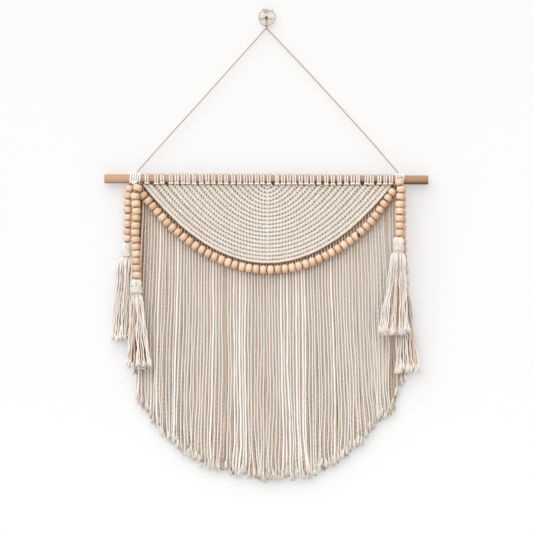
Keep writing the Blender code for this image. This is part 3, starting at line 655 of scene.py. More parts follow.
class Cords:
    """Gathers cords of one make, and joins them in one mesh. Each cord's plies turn along it.

    groove is how deep the furrows between plies are, shade how much painted shade is in them, flank_shade
    how much painted shade is on the cord's sides, and backs how much of the cord's other painted shade is
    taken off faces that look to the wall.
    """

    def __init__(self, plies=3, pitch=0.010, groove=0.20, points_per_ply=2, shade=0.4, flank_shade=0.0, backs=0.0):
        count = plies * points_per_ply
        phase = np.arange(count) / points_per_ply
        away = np.abs(2 * (phase % 1) - 1) if points_per_ply == 2 else 0.5 + 0.5 * np.cos(2 * np.pi * phase)
        self.turns = 2 * np.pi * np.arange(count) / count
        self.reach = 1 - groove * (1 - away)
        self.valley = 1 - away
        self.ply_shade = shade * self.valley
        self.flank_shade = flank_shade
        self.backs = backs
        self.pitch = pitch
        self.points, self.quads, self.caps, self.uvs, self.cap_uvs = [], [], [], [], []
        self.tones, self.hollows = [], []
        self.total = 0

    def add(self, route, radius, tone=0.5, hollow=0.0, side=(0, 1, 0), flat=1.0, start=0.0):
        """A cord along the route. flat squeezes it across side; painted shade and radius may vary along it.
        """
        route = np.asarray(route, float)
        n, count = len(route), len(self.turns)
        ahead = np.gradient(route, axis=0)
        ahead /= lengths(ahead)[:, None]
        side = np.asarray(side, float) - ahead * (ahead @ np.asarray(side, float))[:, None]
        side /= lengths(side)[:, None]
        up = np.cross(ahead, side)
        reach = way_along(route)
        angle = 2 * np.pi * (reach / self.pitch + start)[:, None] + self.turns
        away = np.broadcast_to(radius, n)[:, None] * self.reach
        across, along_up = away * np.cos(angle), away * np.sin(angle) * flat
        out = across[..., None] * side[:, None] + along_up[..., None] * up[:, None]
        rings = route[:, None] + out
        self.points.append(rings.reshape(-1, 3))
        i, k = np.meshgrid(np.arange(count), np.arange(n - 1))
        here, there = k * count, (k + 1) * count
        follower = (i + 1) % count
        quads = np.stack([here + i, here + follower, there + follower, there + i], axis=-1)
        self.quads.append(quads.reshape(-1, 4) + self.total)
        first = self.total + np.arange(count)
        self.caps += [first[::-1].tolist(), (first + (n - 1) * count).tolist()]
        self.cap_uvs += [np.zeros((count, 2))] * 2
        u, v = np.meshgrid(reach * 100, np.arange(count + 1) / count, indexing="ij")
        uv = np.stack([u, v], axis=-1)
        corners = np.stack([uv[:-1, :-1], uv[:-1, 1:], uv[1:, 1:], uv[1:, :-1]], axis=2)
        self.uvs.append(corners.reshape(-1, 2))
        self.tones.append(np.full(n * count, tone))
        hollow = np.broadcast_to(hollow, n)[:, None]
        # Painted shade: the cord's own, more in the furrows between plies, less on faces to the wall, more on
        # its sides.
        hollow = hollow + (1 - hollow) * self.ply_shade
        facing = out[..., 1] / lengths(out)
        hollow = hollow * (1 - self.backs * held(facing * 2.5))
        flank_shade = self.flank_shade * (0.1 + 1.8 * self.valley) * held(0.78 - np.abs(facing))
        self.hollows.append((hollow + (1 - hollow) * flank_shade).ravel())
        self.total += n * count

    def piece(self, name, finish):
        faces = np.concatenate(self.quads).tolist() + self.caps
        uvs = np.concatenate(self.uvs + self.cap_uvs)
        attributes = {"tone": np.concatenate(self.tones), "hollow": np.concatenate(self.hollows)}
        return new_piece(name, np.concatenate(self.points), faces, finish, attributes, uvs)


def modelled():
    """The shape just made with Blender's operators, as points and faces; its object is removed."""
    shape = bpy.context.object
    bpy.ops.object.mode_set(mode="OBJECT")
    points = np.array([vert.co for vert in shape.data.vertices])
    faces = [list(face.vertices) for face in shape.data.polygons]
    bpy.data.objects.remove(shape, do_unlink=True)
    return points, faces


def joined_copies(name, pattern, places, finish, tones, hollow):
    """A mesh of the pattern at each place, a 3 by 4 array, with painted shade for each point of each copy."""
    points, faces = pattern
    places = np.asarray(places)
    copies = np.einsum("nij,vj->nvi", places[:, :, :3], points) + places[:, None, :, 3]
    all_faces = []
    for i in range(len(places)):
        all_faces += [[corner + i * len(points) for corner in face] for face in faces]
    attributes = {"tone": np.repeat(tones, len(points)), "hollow": hollow}
    return new_piece(name, copies.reshape(-1, 3), all_faces, finish, attributes)


def select_by(test):
    """In edit mode, selects the vertices whose place passes the test, and nothing else."""
    shape = bpy.context.object
    bpy.ops.mesh.select_all(action="DESELECT")
    bpy.ops.mesh.select_mode(type="VERT")
    bpy.ops.object.mode_set(mode="OBJECT")
    for vert in shape.data.vertices:
        vert.select = test(vert.co)
    bpy.ops.object.mode_set(mode="EDIT")


def clear_selection():
    if bpy.context.object and bpy.context.object.mode != "OBJECT":
        bpy.ops.object.mode_set(mode="OBJECT")
    bpy.ops.object.select_all(action="DESELECT")


# ---------------------------------------------------------------- the object's own curves


def rod_height(x):
    return ROD_Z + ROD_SLOPE * x


def row_reach(row, side):
    """How far a row reaches from the middle: its end is drawn towards one of the loops over the rod."""
    places = LOOP_PLACES_RIGHT if side > 0 else LOOP_PLACES_LEFT[::-1]
    ends = [abs(x - PANEL_X) for x in places[:PANEL_ROWS]] + [PANEL_HALF_WIDTH]
    numbers = [k + 0.5 for k in range(len(ends) - 1)] + [PANEL_ROWS]
    under_loop = float(np.interp(row * PANEL_ROWS, numbers, ends))
    return (1 - LOOP_PULL) * row * PANEL_HALF_WIDTH + LOOP_PULL * under_loop


def row_point(row, share, y=0.0):
    """A point of a row: row is 0 at the middle of the panel's top and 1 at its edge, share is -1 to 1.

    A share past 1 goes on up to the rod.
    """
    x = PANEL_X + row_reach(row, share) * share
    z = PANEL_TOP - row * PANEL_DROP * (1 - share**2)
    return np.array((x, ROD_Y + y, z))


def edge_height(x):
    return PANEL_TOP - PANEL_DROP * max(0.0, 1 - ((x - PANEL_X) / PANEL_HALF_WIDTH) ** 2)


def fringe_end(x):
    """How high the fringe ends: an arc, cut a little shorter or longer along its way."""
    arc = FRINGE_ARC_Z - math.sqrt(FRINGE_ARC_RADIUS**2 - (x - FRINGE_ARC_X) ** 2)
    return arc + float(np.interp(x, FRINGE_CUT_PLACES, FRINGE_CUTS))


def marked_places(y, marks):
    """Each bead's centre, from the first mark's bead to the last mark's."""
    centres = []
    for (number, x, z), (later, later_x, later_z) in zip(marks, marks[1:]):
        for i in range(later - number):
            share = i / (later - number)
            centres.append(Vector((x + (later_x - x) * share, y, z + (later_z - z) * share)))
    _, x, z = marks[-1]
    return centres + [Vector((x, y, z))]


# ---------------------------------------------------------------- operators


class MACRAME_OT_stage(bpy.types.Operator):
    """Camera, wall, floor and soft light"""

    bl_idname = "macrame.stage"
    bl_label = "Stage"

    def execute(self, context):
        stage = context.scene.macrame_stage
        camera = bpy.data.cameras.new("camera")
        camera.sensor_width = 36.0
        camera.lens = camera.sensor_width * (stage.camera_distance + ROD_Y) / stage.frame_width
        holder = bpy.data.objects.new("camera", camera)
        holder.location = (CAMERA_AIM[0], -stage.camera_distance, CAMERA_AIM[1])
        holder.rotation_euler = (math.pi / 2, 0, 0)
        context.scene.collection.objects.link(holder)
        context.scene.camera = holder
        context.scene.view_settings.view_transform = "Standard"

        floor_z = CAD_BOX[0].z - FLOOR_DROP
        clear_selection()
        bpy.ops.mesh.primitive_plane_add(size=1.0, location=(0, 0, 0))
        bpy.ops.transform.resize(value=(*WALL_SIZE, 1.0))
        bpy.ops.transform.rotate(value=math.pi / 2, orient_axis="X", center_override=(0, 0, 0))
        wall = context.object
        bpy.ops.object.transform_apply()
        if wall.data.polygons[0].normal.y > 0:
            wall.data.flip_normals()
        wall.data.transform(Matrix.Translation((0, WALL_GAP, floor_z + WALL_SIZE[1] / 2)))
        wall.name = "wall"
        clear_selection()
        bpy.ops.mesh.primitive_plane_add(size=WALL_SIZE[0], location=(0, 0, floor_z))
        floor = context.object
        bpy.ops.object.transform_apply()
        floor.name = "floor"
        for surface in (wall, floor):
            surface.data.materials.append(material("wall"))

        self.light("key", stage.key, stage.key_width, KEY_WAY, KEY_COLOUR)
        self.light("ceiling", stage.ceiling, CEILING_WIDTH, CEILING_WAY, CEILING_COLOUR)
        world = bpy.data.worlds.new("room")
        world.use_nodes = True
        background = world.node_tree.nodes["Background"]
        background.inputs["Color"].default_value = ROOM_COLOUR
        background.inputs["Strength"].default_value = stage.sky
        context.scene.world = world
        return {"FINISHED"}

    def light(self, name, strength, width, way, colour):
        light = bpy.data.lights.new(name, "SUN")
        light.energy = strength
        light.color = colour
        light.angle = width
        lamp = bpy.data.objects.new(name, light)
        lamp.rotation_euler = Vector(way).to_track_quat("-Z", "Y").to_euler()
        bpy.context.scene.collection.objects.link(lamp)


class MACRAME_OT_twine(bpy.types.Operator):
    """Hanging twine: its two legs, and the loop tied round the peg"""

    bl_idname = "macrame.twine"
    bl_label = "Hanging twine"

    def leg(self, name, points):
        route = smooth_route(points, 170)
        cord = Cords(plies=2, pitch=0.0062, groove=0.24, points_per_ply=4)
        cord.add(route, 0.5 * TWINE, tone=0.5)
        piece = cord.piece(name, "twine")
        settle(piece, name)

    def execute(self, context):
        self.leg("hanger_cord_left", LEFT_LEG)
        self.leg("hanger_cord_right", RIGHT_LEG)
        self.loop()
        return {"FINISHED"}

    def loop(self):
        """A ring from the top knot round and back, an eye on the pin, and strands between them."""
        uneven = Uneven(SEED)
        loop = Cords(plies=2, pitch=0.0062, groove=0.24, points_per_ply=4)
        half = 0.5 * TWINE
        turns = np.linspace(math.radians(100), math.radians(100 + 360), 90)
        wobble = 1 + 0.02 * np.sin(3 * turns + 0.7) + 0.015 * np.sin(5 * turns)
        loop.add(circle(LOOP_PLACE, turns, LOOP_RADIUS * wobble), 0.92 * half, tone=0.45)
        turns = np.linspace(math.radians(-95), math.radians(265), 36)
        loop.add(circle((0, LOOP_Y, 0), turns, EYE_RADIUS), 0.9 * half, tone=0.6)
        for way in (-1, 1):
            start = LOOP_PLACE + Vector((way * LOOP_RADIUS, 0, -0.0015))
            end = Vector((way * EYE_RADIUS, LOOP_Y, -0.0006))
            route = np.array([start.lerp(end, i / 22) for i in range(23)])
            route[1:-1, 2] += 0.0004 * np.sin(np.arange(1, 22) * 0.85 + way)
            loop.add(route, 0.85 * half, tone=0.6)
            turn = np.linspace(0, 1, 40)
            across = way * 0.00095 * np.cos(0.6 * np.pi * turn)
            forward = LOOP_Y + way * 0.0003 * np.sin(0.6 * np.pi * turn)
            loop.add(columns(across, forward, -0.0016 - 0.0136 * turn), 0.85 * half, tone=0.55)
        # The wraps at the crossing carry painted shade.
        for shift, tilt in ((-0.0017, 0.5), (0.0019, -0.5)):
            turns = np.linspace(0, 2 * np.pi, 34)
            up = shift + tilt * 0.0012 * np.cos(turns)
            wrap = np.array(CROSSING) + columns(0.0013 * np.cos(turns), 0.0012 * np.sin(turns), up)
            loop.add(wrap, 0.8 * half, tone=0.3, hollow=0.72, side=(0, 0, 1))
        knot = knot_route(TOP_KNOT + Vector((0, 0, 0.0009)), (0.004335, 0.0007, 0.0024), 110)
        loop.add(knot, 1.15 * half, tone=0.05)
        tail = smooth_route((TOP_KNOT, TOP_KNOT + Vector((0.0060, -0.0004, -0.0006)), TAIL_END), 26)
        loop.add(tail, 0.9 * half, tone=0.7 + uneven.uniform(0, 0.1))
        settle(loop.piece("twine_loop", "pale_twine"), "hanger_loop")


class MACRAME_OT_peg(bpy.types.Operator):
    """Wall peg with a soft front edge, and the pin in it"""

    bl_idname = "macrame.peg"
    bl_label = "Wall peg and pin"

    def cylinder(self, node, vertices, radius):
        """A cylinder as deep as the node and round its middle, in edit mode. Says where its front is."""
        low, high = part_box(node)
        clear_selection()
        bpy.ops.mesh.primitive_cylinder_add(
            vertices=vertices,
            radius=radius,
            depth=high.y - low.y,
            location=middle(node),
            rotation=(math.pi / 2, 0, 0),
        )
        bpy.ops.object.transform_apply()
        bpy.ops.object.mode_set(mode="EDIT")
        return low.y + NEAR

    def execute(self, context):
        low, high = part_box("wall_peg")
        front = self.cylinder("wall_peg", 64, (high.x - low.x) / 2)
        select_by(lambda place: place.y < middle("wall_peg").y)
        bpy.ops.mesh.bevel(offset=0.0013, segments=5, affect="EDGES")
        select_by(lambda place: place.y < front)
        for inset, deeper in ((0.0022, 0.0005), (0.0030, 0.0003)):
            bpy.ops.mesh.inset(thickness=inset)
            bpy.ops.transform.translate(value=(0, deeper, 0))
        settle_shape("round_peg", "peg", "wall_peg")

        front = self.cylinder("peg_pin", 24, PIN_SHANK_RADIUS)
        select_by(lambda place: place.y < front)
        bpy.ops.transform.translate(value=(0, 0.0008, 0))
        steps = ((0, 1.6, 2.3), (0.0004, 1, 1), (0.0003, 0.72, 0.72), (0.0001, 0.45, 0.45))
        for forward, wide, tall in steps:
            bpy.ops.mesh.extrude_region_move(TRANSFORM_OT_translate={"value": (0, -forward, 0)})
            bpy.ops.transform.resize(value=(wide, 1.0, tall))
        settle_shape("pin", "pin", "peg_pin")
        return {"FINISHED"}


class MACRAME_OT_rod(bpy.types.Operator):
    """Wooden rod with rounded ends"""

    bl_idname = "macrame.rod"
    bl_label = "Rod"

    def execute(self, context):
        clear_selection()
        half = (ROD_HIGH.x - ROD_LOW.x) / 2
        bpy.ops.mesh.primitive_cylinder_add(vertices=64, radius=ROD_RADIUS, depth=2 * half)
        bpy.ops.object.mode_set(mode="EDIT")
        for end in (-1, 1):
            select_by(lambda place: place.z * end > 0)
            bpy.ops.mesh.bevel(offset=0.0010, segments=4, affect="EDGES")
            select_by(lambda place: place.z * end > half - NEAR)
            bpy.ops.mesh.inset(thickness=0.0020)
            bpy.ops.mesh.inset(thickness=0.0020)
        bpy.ops.object.mode_set(mode="OBJECT")
        turn = Matrix.Rotation(math.pi / 2 - ROD_SLOPE, 4, "Y")
        context.object.data.transform(Matrix.Translation((0, ROD_Y, ROD_Z)) @ turn)
        settle_shape("rod", "rod_wood", "wooden_rod")
        return {"FINISHED"}


class MACRAME_OT_wraps(bpy.types.Operator):
    """Cord wound round the rod at both ends of the heading, each with its knot"""

    bl_idname = "macrame.wraps"
    bl_label = "Wraps on the rod"

    def wrap(self, side, turns, knot_place, knot_half):
        name = f"{side}_rod_wrap"
        uneven = Uneven(SEED + len(name))
        cords = Cords(plies=3, pitch=0.0110, groove=0.16, points_per_ply=3, shade=0.15)
        start, end = (corner.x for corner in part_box(f"{side}_wrap"))
        width = (end - start) / turns
        t = np.linspace(0, turns - 1, int(30 * (turns - 1)))
        x = start + width * (0.5 + t)
        radius = WRAP_RADIUS + 0.0002 * np.sin(7.3 * t)
        turn = 2 * np.pi * t + 2.2
        lean = 0.0006 * np.sin(turn + 0.5)
        route = columns(x + lean, ROD_Y - radius * np.cos(turn), rod_height(x) + radius * np.sin(turn))
        cords.add(route, WRAP_CORD, tone=0.3, side=(1, 0, 0), flat=HEADING_FLAT)
        cords.add(knot_route(knot_place, knot_half, 90), 0.0012, tone=uneven.uniform(0.1, 0.3))
        settle(cords.piece(name, "loose_cotton"), f"{side}_wrap")

    def execute(self, context):
        self.wrap("left", 6, (-0.1835, -0.0192, -0.2292), (0.0034, 0.0009, 0.0019))
        self.wrap("right", 5, (0.1862, -0.0225, -0.2195), (0.0030, 0.0012, 0.0019))
        return {"FINISHED"}


class MACRAME_OT_heading(bpy.types.Operator):
    """Doubled cords over the rod, each with the bar of its knot under the rod"""

    bl_idname = "macrame.heading"
    bl_label = "Heading"

    def execute(self, context):
        uneven = Uneven(SEED + 1)
        cords = Cords(plies=3, pitch=0.0100, groove=0.16, points_per_ply=3, shade=0.25, flank_shade=0.50)
        for x in LOOP_PLACES_LEFT + LOOP_PLACES_RIGHT:
            z = rod_height(x)
            apart = 0.97 * HEADING_CORD + uneven.uniform(-0.00005, 0.0002)
            lean = uneven.about(0.0004)
            for side in (-1, 1):
                spread = uneven.uniform(-0.0001, 0.0003)
                angles = np.linspace(math.radians(28), math.radians(332), HEADING_POINTS)
                uneven_reach = 0.00015 * np.sin(angles * 2 + uneven.uniform(0, 6))
                reach = ROD_RADIUS + 0.0002 + HEADING_CORD * HEADING_FLAT + uneven_reach
                share = np.linspace(-1, 1, HEADING_POINTS)
                across = x + side * (apart + spread * (1 - share**2)) + lean * share
                route = columns(across, ROD_Y - reach * np.sin(angles), z - reach * np.cos(angles))
                # Painted shade at the loop's ends under the rod.
                look = {"tone": uneven.random(), "hollow": 0.25 * held(np.abs(share) * 4 - 3)}
                shape = {"side": (1, 0, 0), "flat": HEADING_FLAT, "start": uneven.random()}
                cords.add(route, HEADING_CORD, **look, **shape)
            bar_z = z - 0.0060 + uneven.about(0.0004)
            left, right = (
                [
                    (x + side * 0.0026, ROD_Y + 0.0010, bar_z + 0.0002),
                    (x + side * 0.0026, ROD_Y - 0.0040, bar_z),
                    (x + side * 0.0011, ROD_Y - 0.0058, bar_z + 0.0003),
                ]
                for side in (-1, 1)
            )
            bar = smooth_route(left + right[::-1], 20)
            cords.add(bar, 0.0016, tone=0.2 * uneven.random(), side=(0, 0, 1), start=uneven.random())
        # Two cords under the rod, painted fully in shade, so that the gaps between the bars look dark.
        reach = PANEL_HALF_WIDTH - 0.001
        line = np.linspace(PANEL_X - reach, PANEL_X + reach, 60)
        for y, drop, thick in ((-0.0030, 0.0066, 0.0017), (0.0012, 0.0086, 0.0028)):
            core = columns(line, ROD_Y + y, rod_height(line) - drop)
            cords.add(core, thick, tone=0.5, hollow=1.0, side=(0, 0, 1))
        settle(cords.piece("heading_loops", "loose_cotton"), "macrame_panel")
        return {"FINISHED"}


class MACRAME_OT_panel(bpy.types.Operator):
    """Half-moon of double half hitches: each knot is two turns of cord round its row's core"""

    bl_idname = "macrame.panel"
    bl_label = "Knotted half-moon"

    def turn_of_cord(self):
        """One turn of cord as a ring round Z, and its points' painted shade in a plain and a bridging turn.
        """
        clear_selection()
        bpy.ops.mesh.primitive_torus_add(
            major_segments=10, minor_segments=6, major_radius=1.0, minor_radius=RING_THICK
        )
        bpy.ops.object.mode_set(mode="EDIT")
        select_by(lambda place: place.xy.length < 0.75)
        bpy.ops.transform.resize(value=(1.0, 1.0, 1.3))
        points, faces = modelled()
        ring = points / np.maximum(lengths(points[:, :2]), 0.01)[:, None]
        ring[:, 2] = 0
        # Painted shade on the ring's inner side and at both ends of the turn, most at its lower end where
        # light from above falls least.
        outward = ((points - ring) * ring).sum(axis=1) / RING_THICK
        hollow = held(0.78 - 0.92 * outward)
        below = held((-points[:, 0] - 0.50) * 1.1)
        above = np.clip(points[:, 0] - 0.75, 0, 0.8)
        plain = np.maximum.reduce((hollow, below, above))
        return (points, faces), {False: plain, True: np.maximum(hollow, 0.4 * np.maximum(above, below))}

    def row_knots(self, row, way_out, pitch):
        """Places of a row's knots, from its middle to the rod, with the row's reach at each share."""
        end = 1 + 0.0016 / (row * PANEL_DROP)
        shares = np.linspace(0, end, 160)
        path = np.array([row_point(row, share * way_out) for share in shares])
        reach = way_along(path)
        return np.arange(0.5, reach[-1] / pitch) * pitch, reach, shares

    def execute(self, context):
        settings = context.scene.macrame_cords
        uneven = Uneven(SEED + 2)
        pattern, hollows = self.turn_of_cord()
        places, tones, hollow = ({"left": [], "right": []} for _ in range(3))
        cores = Cords(plies=2, pitch=0.02, groove=0.1, points_per_ply=3)
        for k in range(PANEL_ROWS):
            row = (k + 0.5) / PANEL_ROWS
            core = [row_point(row, share, 0.0004) for share in np.linspace(-1, 1, 16 + 4 * k)]
            # The cores are painted deep in shade, so that they show as dark holes between the rows.
            core_shades = np.array([uneven.uniform(0.75, 1.0) for _ in core])
            cores.add(core, CORE_RADIUS, tone=0.9, hollow=core_shades, flat=1.5)
            for way_out, name in ((-1, "left"), (1, "right")):
                knots, reach, shares = self.row_knots(row, way_out, settings.knot_pitch)
                for knot in knots:
                    lift = uneven.about(0.0002)
                    for turn in (-0.25, 0.25):
                        at = knot + (turn + uneven.about(0.03)) * settings.knot_pitch
                        share = way_out * float(np.interp(at, reach, shares))
                        bridging = turn < 0 and k < PANEL_ROWS - 1
                        places[name].append(self.turn_place(row, share, lift, bridging, settings, uneven))
                        tones[name].append(uneven.random())
                        hollow[name].append(held(hollows[bridging] * (0.97 + 0.25 * abs(share))))
        for name in places:
            deep = np.concatenate(hollow[name])
            knots = joined_copies(f"panel_knots_{name}", pattern, places[name], "cotton", tones[name], deep)
            settle(knots, "macrame_panel")
        settle(cores.piece("panel_cores", "cotton"), "macrame_panel")
        return {"FINISHED"}

    def turn_place(self, row, share, lift, bridging, settings, uneven):
        """Where one turn of cord goes. The bridging turn of a knot reaches the row below."""
        tangent = row_point(row, share + 0.01) - row_point(row, share - 0.01)
        tangent /= np.linalg.norm(tangent)
        across = np.array((-tangent[2], 0, tangent[0]))
        to_next = (PANEL_HALF_WIDTH * share, 0, -PANEL_DROP * (1 - share**2))
        spacing = abs(float(np.dot(to_next, across))) / PANEL_ROWS
        lean = KNOT_LEAN + uneven.about(0.08)
        way = across * (1 - lean) + np.array((0, 0, 1)) * lean
        way /= np.linalg.norm(way)
        half = 0.5 * spacing
        size = 1 + uneven.about(0.04)
        tight = 0.05 * math.sin(share * 23 + row * 31) + 0.04 * math.sin(share * 9 - row * 57)
        length, drop = (1.24, -0.12) if bridging else (1.06 + 0.06 * abs(share) + tight, 0.0)
        depth = settings.row_depth * (1.04 if bridging else 0.98)
        place = np.zeros((3, 4))
        place[:, 0] = way * half * length / RING_REACH * size
        place[:, 1] = np.array((0, 1, 0)) * 0.5 * depth / RING_REACH * size
        wide = 1.42 if bridging else 1.8 if row > 1 - 1 / PANEL_ROWS else 1.16
        place[:, 2] = tangent * 0.25 * settings.knot_pitch / RING_THICK * wide
        if np.linalg.det(place[:, :3]) < 0:
            place[:, 2] *= -1
        place[:, 3] = row_point(row, share) + across * (lift + drop * spacing)
        return place


class MACRAME_OT_fringe(bpy.types.Operator):
    """Strands that hang from the half-moon's edge in three layers, each with a frayed end"""

    bl_idname = "macrame.fringe"
    bl_label = "Fringe"

    def strand(self, cords, tufts, root_x, layer, uneven, settings):
        end_x = PANEL_X + FRINGE_SHIFT + (root_x - PANEL_X) * FRINGE_SPREAD + uneven.about(0.0008)
        end_z = fringe_end(end_x) + layer.short + uneven.about(FRINGE_UNEVEN_CUT)
        top_z = edge_height(root_x) + 0.0012
        length = top_z - end_z
        t = np.linspace(0, 1, max(12, int(length / layer.step)))
        below = t * length
        z = top_z + (end_z - top_z) * t
        x = root_x + (end_x - root_x) * t
        grow = held(below / 0.05) * (0.3 + 0.7 * t + held(4 * t - 3))
        x = x + grow * 0.0012 * np.sin(root_x * 75 + z * 24 + 1.3 * np.sin(root_x * 31))
        x = x + grow * 0.0004 * np.sin(root_x * 190 - z * 37)
        for wave, size in FRINGE_WAVES:
            sway = size * layer.sway * uneven.uniform(0.2, 1.5)
            x = x + grow * sway * np.sin(2 * np.pi * z / wave + uneven.uniform(0, 6.3))
        settle_in = held(below / 0.012)
        y = (ROD_Y + 0.001) * (1 - settle_in) + layer.y * settle_in
        y = y + grow * 0.0003 * np.sin(2 * np.pi * z / 0.07 + uneven.uniform(0, 6.3))
        behind = layer.front and uneven.random() < FRINGE_SET_BACK
        y = y + (0.0012 if behind else 0.0) * settle_in
        tip = held(1 - (length - below) / settings.tuft)
        radius = 0.5 * settings.strand * (1 + uneven.about(0.10)) * (1 - 0.25 * tip)
        radius = radius * (1 - 0.3 * held(1.4 - below / 0.012))
        tone = uneven.random()
        hollow = self.hollow(root_x, below, layer, behind) * (1 - 0.4 * tip)
        route = columns(x, y, z)
        cords.add(route, radius, tone=tone, hollow=hollow, flat=layer.wide, start=uneven.random())
        self.tuft(tufts, route[-1], uneven, settings, tone, layer)

    def hollow(self, root_x, below, layer, behind):
        """A strand's painted shade along its way: more under the panel, at the fringe's sides and behind."""
        under_panel = 0.22 * held(1.2 - below / 0.05)
        neck = np.maximum(held(1.7 - below / 0.0095), under_panel)
        deep = 0.18 if layer.front else 0.97 - layer.hollow
        out = abs(root_x - PANEL_X) / FRINGE_HALF_WIDTH
        # Painted shade at the fringe's sides, where bead strings and tassels stand in front of it.
        if root_x < 0:
            edge = held((out - 0.93) / 0.07) * 0.8 * held(3.7 - below / 0.08)
        else:
            edge = held((out - 0.86) / 0.07) * 0.3 * held(below / 0.05 - 3.4)
        if layer.front:
            shade = 0.30 if behind else 0.0
            edge = 0.3 * edge
        else:
            shade = layer.hollow * (1 - 0.35 * min(max(root_x / 0.06 - 1.6, 0), 1))
        return held(shade + np.maximum(neck * deep, edge))

    def tuft(self, tufts, end, uneven, settings, tone, layer):
        """Loose yarn round the end of a strand, spread like a small brush."""
        lean = uneven.about(0.0022)
        spread = uneven.uniform(0.8, 1.3)
        for i in range(layer.yarns):
            turn = 2 * math.pi * (i + uneven.random()) / layer.yarns
            out = Vector((math.cos(turn), 0.6 * math.sin(turn), 0))
            root = Vector(end) + Vector((0, 0, settings.tuft)) + out * 0.0007
            tip = Vector(end) + out * layer.brush * spread * uneven.uniform(0.3, 1.1)
            tip += Vector((lean, 0, uneven.about(0.0025)))
            bend = root.lerp(tip, 0.55) - out * 0.0002 + Vector((lean * -0.15, 0, 0))
            # Painted shade in the tuft's yarn.
            hollow = layer.hollow * 0.7 + uneven.uniform(0.06, 0.36)
            yarn = smooth_route((root, bend, tip), len(TUFT_YARN))
            tufts.add(yarn, TUFT_YARN, tone=tone, hollow=hollow)

    def execute(self, context):
        settings = context.scene.macrame_cords
        uneven = Uneven(SEED + 3)
        pitch = 2 * FRINGE_HALF_WIDTH / settings.strands
        for layer in FRINGE_LAYERS:
            tufts = Cords(plies=3, pitch=1.0, groove=0.0, points_per_ply=1)
            make = {"pitch": layer.pitch, "groove": 0.32, "shade": 0.04, "flank_shade": 0.22, "backs": layer.pale}
            left, right = Cords(**make), Cords(**make)
            for k in range(settings.strands):
                middle_x = PANEL_X - FRINGE_HALF_WIDTH + (k + 0.5 + layer.shift) * pitch
                if abs(middle_x - PANEL_X) > FRINGE_HALF_WIDTH:
                    continue
                root_x = middle_x + uneven.about(0.0003)
                cords = left if k < settings.strands / 2 else right
                self.strand(cords, tufts, root_x, layer, uneven, settings)
            for part, cords in (("left", left), ("right", right), ("tufts", tufts)):
                settle(cords.piece(f"fringe_{layer.name}_{part}", "loose_cotton"), "fringe")
        return {"FINISHED"}


class MACRAME_OT_beads(bpy.types.Operator):
    """The swag and the four side strings of wooden beads, with the cord through them"""

    bl_idname = "macrame.beads"
    bl_label = "Beads"

    def bead(self, settings):
        """A flattened ball with a hole along Z, and the painted shade of each point near the hole."""
        clear_selection()
        radius, bore = 0.5 * settings.width, 0.5 * settings.hole
        bpy.ops.mesh.primitive_uv_sphere_add(segments=20, ring_count=14, radius=radius, location=(0, 0, 0))
        bpy.ops.object.mode_set(mode="EDIT")
        select_by(lambda place: place.xy.length < bore * 0.9)
        bpy.ops.mesh.delete(type="VERT")
        bpy.ops.mesh.select_all(action="DESELECT")
        bpy.ops.mesh.select_non_manifold()
        bpy.ops.mesh.bridge_edge_loops()
        bpy.ops.mesh.select_all(action="SELECT")
        bpy.ops.mesh.normals_make_consistent(inside=False)
        points, faces = modelled()
        around = points[:, :2] / lengths(points[:, :2])[:, None]
        away = lengths(points[:, :2]) / radius
        away = np.where(away * radius > 1.3 * bore, away**0.84, away)
        points[:, :2] = around * away[:, None] * radius
        height = points[:, 2] / np.abs(points[:, 2]).max()
        points[:, 2] = np.sign(height) * np.abs(height) ** 0.84 * 0.5 * settings.length
        return (points, faces), held((0.84 - away) / 0.40) * 0.9

    def string(self, name, centres, start, end, shape, uneven):
        """One string of beads on their cord, whose ends go on to start and end."""
        pattern, hollow = shape
        plump = PLUMPER.get(name, 1.0)
        places, tones, grains = [], [], []
        for i, centre in enumerate(centres):
            before = centres[i - 1] if i else centre
            after = centres[i + 1] if i + 1 < len(centres) else centre
            along = (after - before).normalized()
            if name == "swag" and i == TURNED_BEAD:
                along = Vector(TURNED_WAY).normalized()
            turn = along.to_track_quat("Z", "Y").to_matrix().to_4x4() @ Matrix.Diagonal((plump, plump, 1, 1))
            tilt_x = Matrix.Rotation(uneven.about(0.10), 4, "X")
            tilt_y = Matrix.Rotation(uneven.about(0.10), 4, "Y")
            spin = Matrix.Rotation(uneven.uniform(0, 6.28), 4, "Z")
            size = Matrix.Scale(1 + uneven.uniform(-0.025, 0.02), 4)
            place = Matrix.Translation(centre) @ turn @ (tilt_x @ tilt_y) @ spin @ size
            places.append(np.array(place)[:3])
            tones.append(uneven.random())
            grains.append(pattern[0] + np.array([uneven.uniform(0, 1) for _ in range(3)]))
        hollow = np.tile(hollow, len(places))
        beads = joined_copies(f"{name}_beads_turned", pattern, places, "bead_wood", tones, hollow)
        # lit says how far each point faces the light, for the painted highlight and painted shade.
        normals = np.array([tuple(normal.vector) for normal in beads.data.vertex_normals])
        lit = beads.data.attributes.new("lit", "FLOAT", "POINT")
        lit.data.foreach_set("value", normals @ np.array(BEAD_LIGHT_WAY))
        grain = beads.data.attributes.new("grain_place", "FLOAT_VECTOR", "POINT")
        grain.data.foreach_set("vector", np.concatenate(grains).ravel())
        settle(beads, f"{name}_beads")
        cord = Cords(plies=3, pitch=0.008, groove=0.15, points_per_ply=2)
        route = smooth_route([*start, *centres, *end], 8 * len(centres))
        # The cord through the beads is painted in shade, dark where it shows between beads.
        cord.add(route, BEAD_CORD, tone=0.6, hollow=0.8)
        settle(cord.piece(f"{name}_bead_cord", "cotton"), f"{name}_beads")

    def execute(self, context):
        uneven = Uneven(SEED + 4)
        shape = self.bead(context.scene.macrame_beads)
        swag = [Vector(place) for place in smooth_route(SWAG_ROUTE, SWAG_BEADS)]
        self.string("swag", swag, SWAG_LEFT_END, SWAG_RIGHT_END, shape, uneven)
        for string in BEAD_STRINGS:
            centres = marked_places(string.y, string.marks)
            below = [centres[-1] + 0.55 * (centres[-1] - centres[-2])]
            self.string(string.name, centres, [string.tie], below, shape, uneven)
        return {"FINISHED"}


